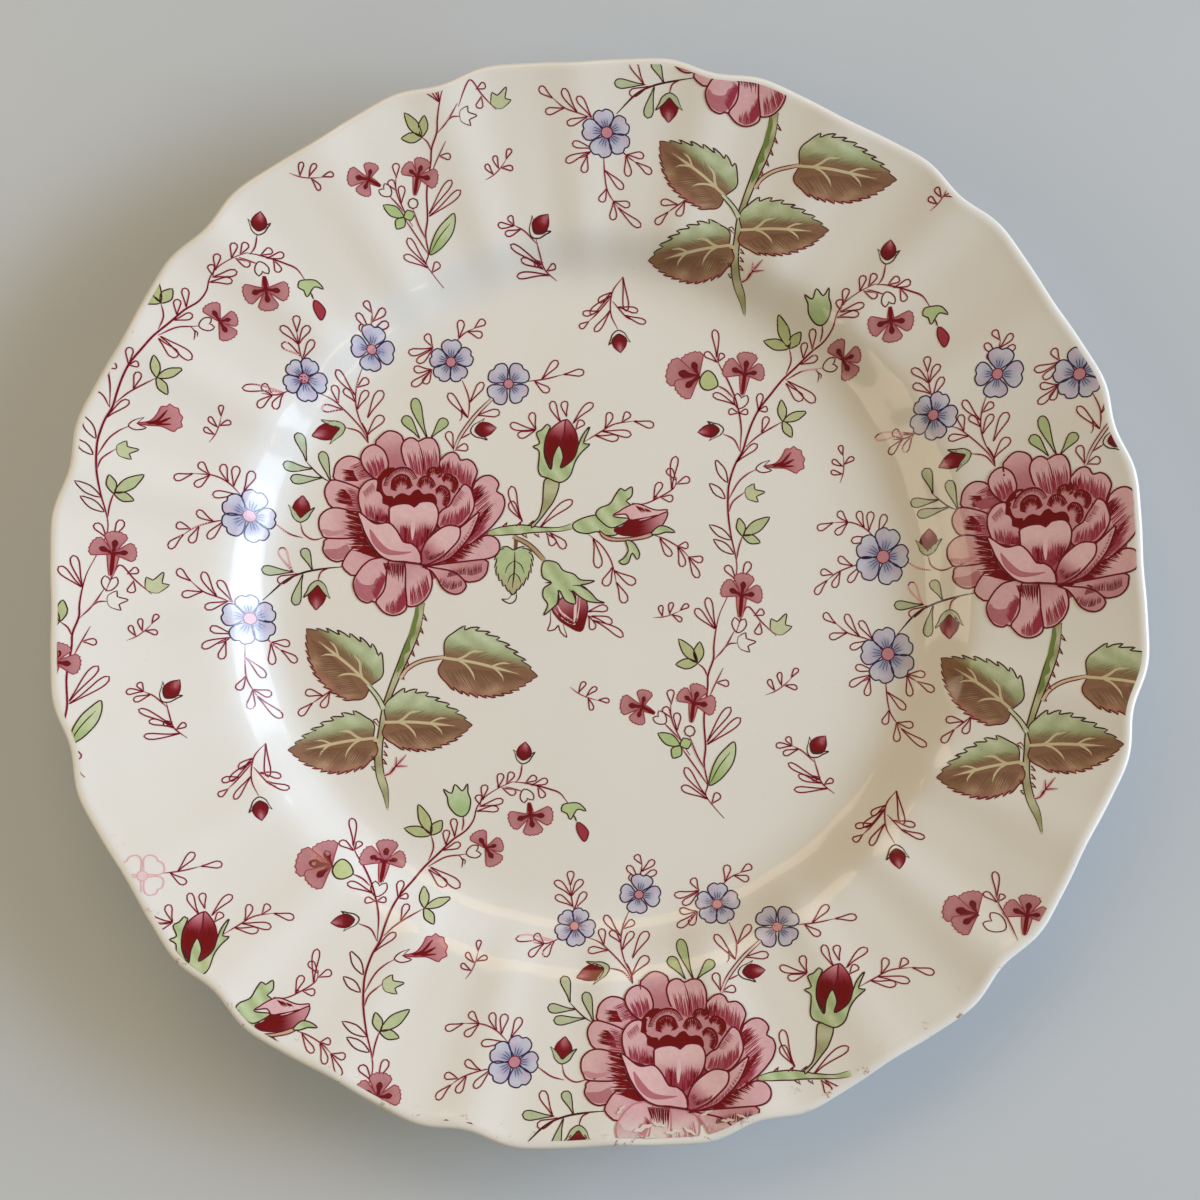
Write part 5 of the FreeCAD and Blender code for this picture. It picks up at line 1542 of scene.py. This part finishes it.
def vine_top(canvas):
    """The vine above its middle flower."""
    canvas.start(0)
    vine_stroke(canvas, [(32.9, 1.1), (35.4, 8.3), (33.9, 16.8), (33.2, 21.9), (33.1, 26.3), (33.4, 29.8),
                         (34.7, 34.1), (36.5, 37.6), (37.4, 40.7), (38.7, 44.6), (40.4, 48.1), (43.0, 51.6),
                         (45.6, 55.0), (49.1, 58.5), (52.2, 61.6), (55.2, 63.8), (57.0, 66.4), (57.8, 69.4),
                         (59.6, 72.0), (63.1, 74.4), (66.1, 75.8)], 0.5)
    vine_stroke(canvas, [(66.1, 75.8), (68.7, 75.5), (71.4, 74.9), (74.4, 74.0), (77.0, 72.9), (78.8, 70.5)],
                0.42)
    vine_stroke(canvas, [(35.9, 37.4), (36.1, 42.4), (35.8, 45.5), (35.2, 48.1), (34.3, 51.1), (32.6, 55.0),
                         (30.4, 59.0), (29.7, 61.6)], 0.42)
    loops(canvas, [((29.1, 67.5), (29.8, 60.6)), ((26.9, 61.8), (30.0, 59.4)), ((31.3, 61.6), (30.2, 59.6)),
                   ((29.1, 51.6), (34.6, 48.9)), ((33.0, 47.4), (35.4, 46.9)), ((37.6, 47.4), (35.4, 46.9)),
                   ((40.6, 51.8), (40.2, 47.4)), ((42.3, 48.1), (40.1, 47.6)), ((42.3, 46.1), (41.0, 42.0)),
                   ((40.0, 39.3), (35.0, 34.8)), ((52.4, 66.8), (52.6, 62.2)), ((50.8, 64.0), (50.6, 60.2)),
                   ((53.9, 60.6), (49.8, 59.0)), ((63.5, 77.9), (62.8, 74.2)), ((66.1, 78.2), (64.6, 75.2)),
                   ((59.8, 75.1), (59.2, 71.4)), ((58.2, 72.6), (58.6, 70.0)), ((63.9, 71.2), (58.4, 69.7)),
                   ((62.8, 69.1), (57.7, 68.5)), ((66.8, 72.9), (63.6, 74.4)), ((71.6, 77.0), (69.0, 75.4)),
                   ((74.2, 76.2), (70.4, 74.9)), ((73.2, 71.8), (71.8, 74.8))], 1.6)
    loops(canvas, [((50.6, 50.2), (46.6, 54.4)), ((53.7, 49.8), (47.0, 54.9))], 2.2)
    heart = sample([(30.2, 53.8), (29.4, 56.2), (27.8, 57.4), (26.4, 56.4), (25.8, 54.6), (26.6, 53.0),
                    (28.2, 52.6)], 0.5, closed=True)
    vine_flower(canvas, (25.4, 55.8), [(23.4, 61.6), (18.0, 57.4), (20.8, 51.9)])
    canvas.fill(heart, (176, 184, 130), 1.2)
    canvas.stroke(heart, 0.34, "brown", closed=True)
    vine_stroke(canvas, [(30.0, 53.8), (32.2, 52.6), (33.9, 50.8)])
    vine_flower(canvas, (36.7, 56.6), [(31.8, 58.6), (37.3, 61.8), (41.2, 57.2)], (36.2, 51.6))
    heart_calyx(canvas, (35.6, 48.9), (36.2, 51.6), 2.9)
    vine_flower(canvas, (59.8, 59.4), [(57.6, 63.3), (63.6, 60.4), (62.2, 55.4)])
    heart_calyx(canvas, (56.0, 58.2), (59.6, 59.3), 2.6)
    vine_stroke(canvas, [(55.2, 58.0), (53.9, 57.8), (50.4, 57.3), (46.5, 55.1)])
    canvas.stroke([(53.4, 57.8), (54.4, 56.6), (54.2, 54.6)], 0.3, "crimson")
    canvas.stroke([(54.0, 57.0), (55.0, 56.4), (54.9, 55.4)], 0.3, "crimson")
    vine_flower(canvas, (70.2, 67.4), [(65.4, 65.8), (70.9, 62.6), (75.2, 67.2)], (69.9, 70.6))
    heart_calyx(canvas, (69.0, 73.2), (69.9, 70.6), 2.6)
    vine_stroke(canvas, [(68.4, 73.4), (66.4, 74.0), (64.4, 74.6)])
    red_bud(canvas, (25.6, 42.2), (30.8, 42.8), 3.2, None, [(31.7, 41.8), (34.4, 40.4), (35.8, 37.6)])
    red_bud(canvas, (69.2, 85.8), (68.6, 81.2), 3.4, None, [(68.4, 80.4), (67.9, 77.3), (66.8, 75.5)])
    outlined(canvas, [(77.6, 69.9), (79.2, 70.4), (81.4, 70.3), (83.0, 68.4), (81.0, 68.8), (79.4, 66.3),
                      (78.6, 67.8), (77.4, 68.4)], (170, 186, 134), "brown", 0.3)
    outlined(canvas, [(81.0, 65.6), (82.4, 64.8), (83.5, 63.0), (82.5, 60.8), (80.9, 63.4)], (148, 52, 62),
             "crimson", 0.3)
    canvas.stroke([(80.2, 67.4), (80.8, 65.8)], 0.34, "brown")
    three_leaves(canvas, (47.2, 62.9), ((44.3, 70.5), (41.0, 64.7), (49.7, 66.4)), [(46.6, 56.6),
                                                                                    (47.7, 59.8),
                                                                                    (47.2, 62.9)])
    three_leaves(canvas, (46.1, 45.0), ((45.6, 50.3), (51.7, 47.4), (48.3, 41.1)), [(37.2, 38.6),
                                                                                    (40.4, 41.5),
                                                                                    (46.1, 45.0)],
                 (176, 182, 138), 2.2)


def vine_tulip(canvas):
    """The tulip-shaped leaf at the vine's top, which is rubbed away in one copy."""
    vine_stroke(canvas, [(54.3, 63.8), (54.7, 65.6), (54.6, 67.4)])
    tulip_leaf(canvas, (54.6, 67.3), (52.8, 75.3), 5.2)


def vine_middle(canvas):
    """The trumpet, ivy and small leaves along the vine's middle."""
    canvas.start(0)
    trumpet = [(41.6, 33.9), (44.4, 34.6), (46.0, 36.4), (46.9, 38.2), (48.0, 38.2), (48.8, 38.9),
               (49.6, 38.2), (50.6, 37.9), (50.8, 36.7), (51.5, 35.8), (51.1, 34.6), (51.4, 33.5),
               (50.3, 33.0), (49.6, 32.2), (48.4, 32.7), (46.8, 33.4), (44.0, 33.5)]
    outlined(canvas, trumpet, shade_along((42.0, 33.8), (50.8, 36.0), (154, 84, 92), (186, 128, 130), 0.1,
                                          1.0), "rose", 0.26)
    canvas.stroke([(43.6, 34.1), (46.0, 34.8), (48.2, 37.4)], 0.6, "deep", taper=(0.6, 0.4))
    canvas.stroke([(44.0, 33.9), (46.6, 34.4), (48.9, 35.6)], 0.7, "deep", taper=(0.6, 0.4))
    canvas.stroke([(45.6, 33.8), (47.4, 33.9), (49.0, 34.0)], 0.5, "deep", taper=(0.6, 0.4))
    canvas.stroke([(43.2, 35.4), (41.0, 34.6), (39.8, 33.2), (41.4, 32.3), (43.6, 32.9), (41.8, 33.8),
                   (43.2, 35.4)], 0.3, "crimson")
    vine_stroke(canvas, [(33.3, 25.6), (35.4, 29.6), (37.6, 31.8), (39.9, 33.1)])
    vine_stroke(canvas, [(33.3, 22.2), (34.3, 25.0), (37.1, 27.4)])
    ivy_leaf(canvas, (37.3, 27.0), (42.0, 27.5), 3.8, (182, 188, 148))
    vine_stroke(canvas, [(35.2, 10.0), (35.8, 13.6), (36.8, 16.8)])
    pointed_leaf(canvas, (36.8, 16.6), (43.2, 21.3), 2.8, (172, 182, 138), "brown")
    pointed_leaf(canvas, (36.8, 16.6), (35.8, 21.0), 2.2, (172, 182, 138), "brown")
    pointed_leaf(canvas, (36.8, 16.6), (41.0, 15.0), 2.2, (172, 182, 138), "brown")
    for tip, joint in (((30.0, 35.4), (32.9, 29.8)), ((28.6, 29.5), (32.4, 25.8)), ((28.6, 19.3),
                                                                                    (34.0, 15.6)),
                       ((29.7, 15.7), (34.6, 12.1))):
        pointed_leaf(canvas, joint, tip, 2.0)
    loops(canvas, [((32.7, 9.2), (35.2, 5.6)), ((38.4, 10.2), (36.4, 5.8))], 1.8)
    vine_flower(canvas, (36.6, 2.0), [(32.0, 4.2), (37.3, 7.2), (41.4, 2.4)], (36.2, -3.4))
    heart_calyx(canvas, (35.8, -6.4), (36.2, -3.4), 2.9)


def vine_low(canvas):
    """The vine below its middle flower."""
    canvas.start(0)
    vine_stroke(canvas, [(31.9, -52.3), (29.7, -49.9), (27.5, -46.8), (28.0, -44.2), (27.2, -39.4),
                         (27.6, -35.1), (27.3, -28.1), (28.2, -21.1), (28.4, -17.6), (29.7, -13.7),
                         (29.8, -10.7), (30.3, -6.7), (31.2, -2.8), (32.9, 1.1)], 0.46)
    vine_stroke(canvas, [(29.9, -13.9), (32.5, -10.9), (34.9, -6.7)])
    loops(canvas, [((28.2, 1.3), (30.3, -6.2)), ((25.3, -1.5), (30.2, -6.4)), ((41.9, -1.8), (39.6, -3.0)),
                   ((40.4, -7.6), (41.0, -4.6)), ((33.8, -25.5), (28.0, -34.0)), ((36.2, -28.1),
                                                                                  (28.0, -34.6)),
                   ((22.5, -40.3), (27.6, -47.0)), ((21.6, -44.9), (28.0, -47.8)), ((30.7, -46.4),
                                                                                    (28.8, -49.0)),
                   ((19.2, -21.4), (19.4, -25.0)), ((17.5, -25.7), (19.4, -28.4)), ((20.7, -27.0),
                                                                                    (20.6, -31.6))], 1.8)
    vine_stroke(canvas, [(35.2, -7.4), (37.0, -2.2), (38.4, -0.9), (41.2, -4.3), (45.0, -7.9)])
    ivy_leaf(canvas, (44.8, -7.4), (47.4, -2.4), 4.4, (184, 190, 152))
    ivy_leaf(canvas, (35.6, -9.8), (40.0, -9.4), 4.0)
    vine_stroke(canvas, [(32.0, -11.4), (33.6, -10.0), (35.6, -9.8)])
    three_leaves(canvas, (25.8, -14.8), ((21.2, -8.9), (26.4, -9.6), (20.5, -15.2)), [(28.3, -18.3),
                                                                                      (27.4, -16.2),
                                                                                      (25.8, -14.8)])
    vine_stroke(canvas, [(28.6, -23.3), (29.9, -20.3), (32.1, -15.9)], 0.3)
    leaflet(canvas, (30.2, -19.6), (33.4, -19.8), 1.6)
    vine_stroke(canvas, [(23.8, -37.3), (21.6, -33.6), (19.4, -28.5), (19.2, -24.6)])
    three_leaves(canvas, (21.4, -35.0), ((16.0, -32.0), (24.2, -33.8), (19.6, -38.0)), [(28.2, -44.7),
                                                                                        (25.8, -41.2),
                                                                                        (21.4, -35.0)],
                 (164, 184, 126), 2.8)
    vine_flower(canvas, (12.2, -25.6), [(13.0, -21.6), (7.0, -25.0), (10.6, -29.6)], (15.3, -27.2))
    heart_calyx(canvas, (17.4, -29.0), (15.3, -27.2), 2.6)
    vine_stroke(canvas, [(17.6, -29.6), (19.6, -31.6), (21.4, -33.6)])
    vine_flower(canvas, (24.8, -24.6), [(21.4, -22.0), (26.4, -20.2), (30.0, -25.2)], (24.2, -29.2))
    canvas.stroke([(23.8 + 1.3 * math.cos(step),
                    -31.4 + 1.3 * math.sin(step)) for step in np.arange(8) * math.pi / 4], 0.32, "crimson",
                  closed=True)
    vine_stroke(canvas, [(23.8, -32.8), (25.4, -37.0), (27.6, -41.0)])
    outlined(canvas, [(28.4, -44.4), (29.0, -41.0), (30.6, -37.6), (33.0, -35.0), (34.6, -33.9),
                      (34.9, -36.2), (34.2, -39.0), (32.6, -41.4), (30.6, -43.4)], shade_along((28.6, -44.0),
                                                                                               (34.2, -34.6),
                                                                                               (150, 172,
                                                                                                110),
                                                                                               (186, 196,
                                                                                                158)),
             "brown", 0.32)
    canvas.stroke([(28.6, -44.0), (30.8, -40.0), (33.6, -36.4)], 0.28, "brown")


# ---------------------------------------------------------------------------
# Loose sprigs
# ---------------------------------------------------------------------------

def shifted(dx, dy):
    """A rule that moves places by a distance across and back."""
    def at(points):
        return [(x + dx, y + dy) for x, y in points]
    return at


def bud_sprig(canvas, dx=0.0, dy=0.0):
    """A loose sprig with an upright bud."""
    at = shifted(dx, dy)
    spray(canvas, at([(58.5, -45.8), (55.6, -43.4), (54.5, -40.3), (53.7, -37.3)]),
          at([(47.6, -38.8), (48.9, -45.1), (50.0, -41.6)]), leaf_width=1.4)
    spray(canvas, at([(53.9, -38.4), (51.0, -35.8), (48.6, -34.6)]),
          at([(44.7, -34.6), (47.4, -32.5), (46.4, -36.6)]), leaf_width=1.4)
    loops(canvas, [at([(53.2, -42.4), (55.2, -42.0)]), at([(58.2, -42.5), (56.0, -43.8)])], 1.3)
    red_bud(canvas, *at([(56.6, -32.0), (53.4, -36.2)]), 3.8)


def hanging_sprig(canvas, dx=0.0, dy=0.0):
    """A loose sprig whose bud hangs down."""
    at = shifted(dx, dy)
    spray(canvas, at([(6.6, 80.1), (4.1, 76.6), (3.8, 71.5), (5.6, 67.6)]),
          at([(0.8, 74.2), (-1.2, 71.3), (0.0, 67.0), (7.6, 72.0)]), leaf_width=1.4)
    spray(canvas, at([(4.0, 75.6), (0.6, 71.6), (-1.4, 69.6)]), at([(-3.7, 68.0), (-3.0, 71.4)]),
          leaf_width=1.4)
    spray(canvas, at([(4.2, 74.4), (7.6, 70.6), (9.4, 69.8)]), at([(12.4, 69.2), (10.4, 72.0)]),
          leaf_width=1.4)
    red_bud(canvas, *at([(6.4, 61.8), (5.8, 66.4)]), 3.6)


def small_sprig(canvas, x, y, turn=0.0, size=1.0):
    """A very small sprig that fills a gap."""
    cosine, sine = math.cos(math.radians(turn)) * size, math.sin(math.radians(turn)) * size

    def at(points):
        return [(x + cosine * a - sine * b, y + sine * a + cosine * b) for a, b in points]
    vine_stroke(canvas, at([(-4.2, -2.8), (-1.8, -1.8), (0.4, -0.2), (2.0, 1.4)]), 0.24)
    for base, tip in (((-1.8, -1.8), (-3.4, 1.0)), ((-0.2, -0.6), (-0.8, 2.8)), ((0.2, -0.4), (3.4, -1.0)),
                      ((2.0, 1.4), (3.6, 3.8))):
        leaflet(canvas, *at([base, tip]), 1.2)


# ---------------------------------------------------------------------------
# Lay the pattern
# ---------------------------------------------------------------------------

def draw(name, copy, *steps, slot, worn_below=None, bloom=1.0):
    """Draw one group of the pattern in one copy of the tile and make its pieces."""
    canvas = Canvas(copy, worn_below, bloom)
    for step in steps:
        step(canvas)
    canvas.finish(name, name + "_print")


def main_small_buds(canvas):
    """The three small buds round the rose."""
    red_bud(canvas, (-71.4, 27.0), (-72.0, 21.6), 4.2, LEAFLET_GREEN, [(-72.0, 20.4), (-71.2, 17.7),
                                                                       (-68.7, 16.2), (-65.7, 16.9)])
    red_bud(canvas, (-68.2, -1.0), (-67.8, 5.0), 4.4, LEAFLET_GREEN, [(-67.8, 5.9), (-67.0, 8.2),
                                                                      (-64.9, 9.2)])
    red_bud(canvas, (-68.9, 41.4), (-62.4, 43.5), 4.0, LEAFLET_GREEN, [(-61.3, 43.7), (-57.7, 42.6),
                                                                       (-55.4, 39.7)])


def top_small_bud(canvas):
    red_bud(canvas, (-23.9, 43.3), (-29.2, 42.6), 3.6, None, [(-30.2, 42.0), (-32.6, 40.7)])


def every_blue_flower(canvas):
    flower_one(canvas)
    flower_two(canvas)
    flower_three(canvas)
    flower_four(canvas)
    flower_five(canvas)
    flower_six(canvas)
    rose_greens(canvas)
    low_branch(canvas)
    main_small_buds(canvas)
    top_small_bud(canvas)


def corner_flowers(canvas):
    """The two vine flowers that the lower right edge cuts off from their vine."""
    vine_flower(canvas, (25.4, 55.8), [(23.4, 61.6), (18.0, 57.4), (20.8, 51.9)])
    heart_calyx(canvas, (31.0, 53.2), (27.0, 55.6), 4.0)
    vine_flower(canvas, (36.7, 56.6), [(31.8, 58.6), (37.3, 61.8), (41.2, 57.2)], (36.2, 51.6))
    vine_stroke(canvas, [(34.8, 50.0), (32.6, 55.0), (30.4, 59.0), (29.7, 61.6)])
    loops(canvas, [((29.1, 67.5), (29.8, 60.6)), ((26.9, 61.8), (30.0, 59.4)), ((31.3, 61.6), (30.2, 59.6))],
          1.6)


def loose_sprigs(canvas):
    bud_sprig(canvas)
    bud_sprig(canvas, -155.5, 14.0)
    bud_sprig(canvas, -68.0, 125.0)
    hanging_sprig(canvas)
    hanging_sprig(canvas, -86.0, -113.5)
    hanging_sprig(canvas, 66.0, -125.0)
    for x, y, turn, size in ((46.5, -19.6, 0, 1.0), (19.4, -2.6, -20, 0.9), (60.5, 34.5, 50, 0.9),
                             (-90.0, 42.5, 30, 0.9), (-67.0, 100.0, -40, 1.0), (-23.0, 103.5, 10, 0.9),
                             (-107.0, -6.0, 0, 0.9), (-1.0, -23.0, -60, 1.0), (-29.0, -85.5, 30, 0.9),
                             (80.0, 95.0, 20, 0.8)):
        small_sprig(canvas, x, y, turn, size)


def lay_pattern():
    """Every group of the pattern, with the part of the tile that falls on the plate there."""
    draw("main_leaves", MAIN, leaves, slot="leaf_green")
    draw("main_rose", MAIN, rose, slot="rose_pink")
    draw("main_blue_flowers", MAIN, every_blue_flower, slot="flower_blue")
    draw("main_buds", MAIN, all_buds, slot="bud_crimson")
    draw("centre_vine", MAIN, vine_low, vine_top, vine_tulip, vine_middle, slot="vine_crimson")
    draw("right_leaves", RIGHT, leaves, slot="leaf_green")
    draw("right_rose", RIGHT, rose, slot="rose_pink")
    draw("right_blue_flowers", RIGHT, every_blue_flower, slot="flower_blue", bloom=1.16)
    draw("bottom_rose", BOTTOM, rose, worn_petals, slot="rose_pink", worn_below=9.5)
    draw("bottom_blue_flowers", BOTTOM, every_blue_flower, slot="flower_blue")
    draw("bottom_bud", BOTTOM, branch, first_bud, slot="bud_crimson")
    draw("top_leaves", TOP, leaves, slot="leaf_green")
    draw("top_rose", TOP, rose, slot="rose_pink")
    draw("top_blue_flower", TOP, flower_six, low_branch, main_small_buds, slot="flower_blue")
    draw("lower_left_buds", LOWER_LEFT, second_bud, first_bud, outline_flower, slot="bud_crimson")
    draw("left_vine", LEFT_VINE, vine_low, vine_top, vine_middle, slot="vine_crimson")
    draw("lower_vine", LOWER_VINE, vine_top, vine_tulip, vine_middle, slot="vine_crimson")
    draw("top_vine", TOP_VINE, vine_low, slot="vine_crimson")
    draw("corner_vine", CORNER_VINE, corner_flowers, slot="vine_crimson")
    draw("loose_sprigs", MAIN, loose_sprigs, slot="vine_crimson")


# ---------------------------------------------------------------------------
# Stage, light and camera
# ---------------------------------------------------------------------------

DAYLIGHT = (0.70, 0.82, 1.0)
WINDOW_PLACE = (1.9, 0.2, 0.75)
PLATE_MIDDLE = (0.0, 0.0, 0.0)


def area_light(name, place, target, size, power, colour, shine=1.0):
    """A rectangular light that faces a target."""
    light = bpy.data.lights.new(name, "AREA")
    light.shape = "RECTANGLE"
    light.size, light.size_y = size
    light.energy = power
    light.color = colour
    light.specular_factor = shine
    lamp = bpy.data.objects.new(name, light)
    bpy.context.scene.collection.objects.link(lamp)
    lamp.location = place
    lamp.rotation_euler = (Vector(target) - Vector(place)).to_track_quat("-Z", "Y").to_euler()


def stage():
    """A plain pale table, a large window to the right and a gentle warm fill."""
    table = Nodes("pale_table")
    cloth = table.ramp(table.noise(3.0, 4.0), [(0.3, (0.52, 0.56, 0.60)), (0.7, (0.58, 0.62, 0.66))])
    table.link(cloth, table.shader.inputs["Base Color"])
    table.shader.inputs["Roughness"].default_value = 0.8
    bpy.ops.mesh.primitive_plane_add(size=6.0, location=(0.0, 0.0, 0.0))
    floor = bpy.context.object
    floor.name = "table_top"
    floor.data.materials.append(table.material)

    world = bpy.data.worlds.new("room")
    world.use_nodes = True
    fill_light = world.node_tree.nodes["Background"]
    fill_light.inputs["Color"].default_value = (1.0, 0.90, 0.60, 1.0)
    fill_light.inputs["Strength"].default_value = 0.20
    backdrop = world.node_tree.nodes.new("ShaderNodeBackground")
    backdrop.inputs["Color"].default_value = (0.56, 0.57, 0.58, 1.0)
    seen = world.node_tree.nodes.new("ShaderNodeLightPath")
    either = world.node_tree.nodes.new("ShaderNodeMixShader")
    join = world.node_tree.links.new
    join(seen.outputs["Is Camera Ray"], either.inputs["Fac"])
    join(fill_light.outputs["Background"], either.inputs[1])
    join(backdrop.outputs["Background"], either.inputs[2])
    join(either.outputs["Shader"], world.node_tree.nodes["World Output"].inputs["Surface"])
    bpy.context.scene.world = world

    area_light("window", WINDOW_PLACE, PLATE_MIDDLE, (1.0, 0.7), 29.0, DAYLIGHT, 0.40)
    area_light("curtain", WINDOW_PLACE, PLATE_MIDDLE, (1.8, 1.3), 29.0, DAYLIGHT, 0.40)
    area_light("ceiling", (-0.2, 1.2, 1.5), PLATE_MIDDLE, (1.6, 0.8), 8.5, (1.0, 0.70, 0.38))
    area_light("wall", (-0.55, -0.05, 0.42), PLATE_MIDDLE, (0.5, 0.4), 1.3, (1.0, 0.86, 0.70), 0.12)
    area_light("lamp", (0.55, -0.45, 0.50), (0.1, -0.05, 0.0), (0.3, 0.06), 0.2, (1.0, 0.72, 0.40))


def camera():
    """Stands over the plate, a little towards its lower edge."""
    lean, roll = -0.127, -0.0329
    tilt = Matrix(((1, 0, 0), (0, math.cos(lean), -math.sin(lean)), (0, math.sin(lean), math.cos(lean))))
    yaw = Matrix(((math.cos(roll), 0, math.sin(roll)), (0, 1, 0), (-math.sin(roll), 0, math.cos(roll))))
    eye = bpy.data.cameras.new("camera")
    eye.sensor_width = 36.0
    eye.lens = 67.0
    viewer = bpy.data.objects.new("camera", eye)
    bpy.context.scene.collection.objects.link(viewer)
    viewer.matrix_world = Matrix.Translation(Vector((18.3, -68.4,
                                                     534.2)) * MM) @ (tilt @ yaw).transposed().to_4x4()
    bpy.context.scene.camera = viewer


build_glaze()
lay_pattern()
for part, material in (("earthenware_body", CLAY), ("underside_glaze", GLAZE)):
    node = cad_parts[part]
    node.data.materials.clear()
    node.data.materials.append(material)
stage()
camera()
bpy.context.scene.view_settings.view_transform = "Standard"
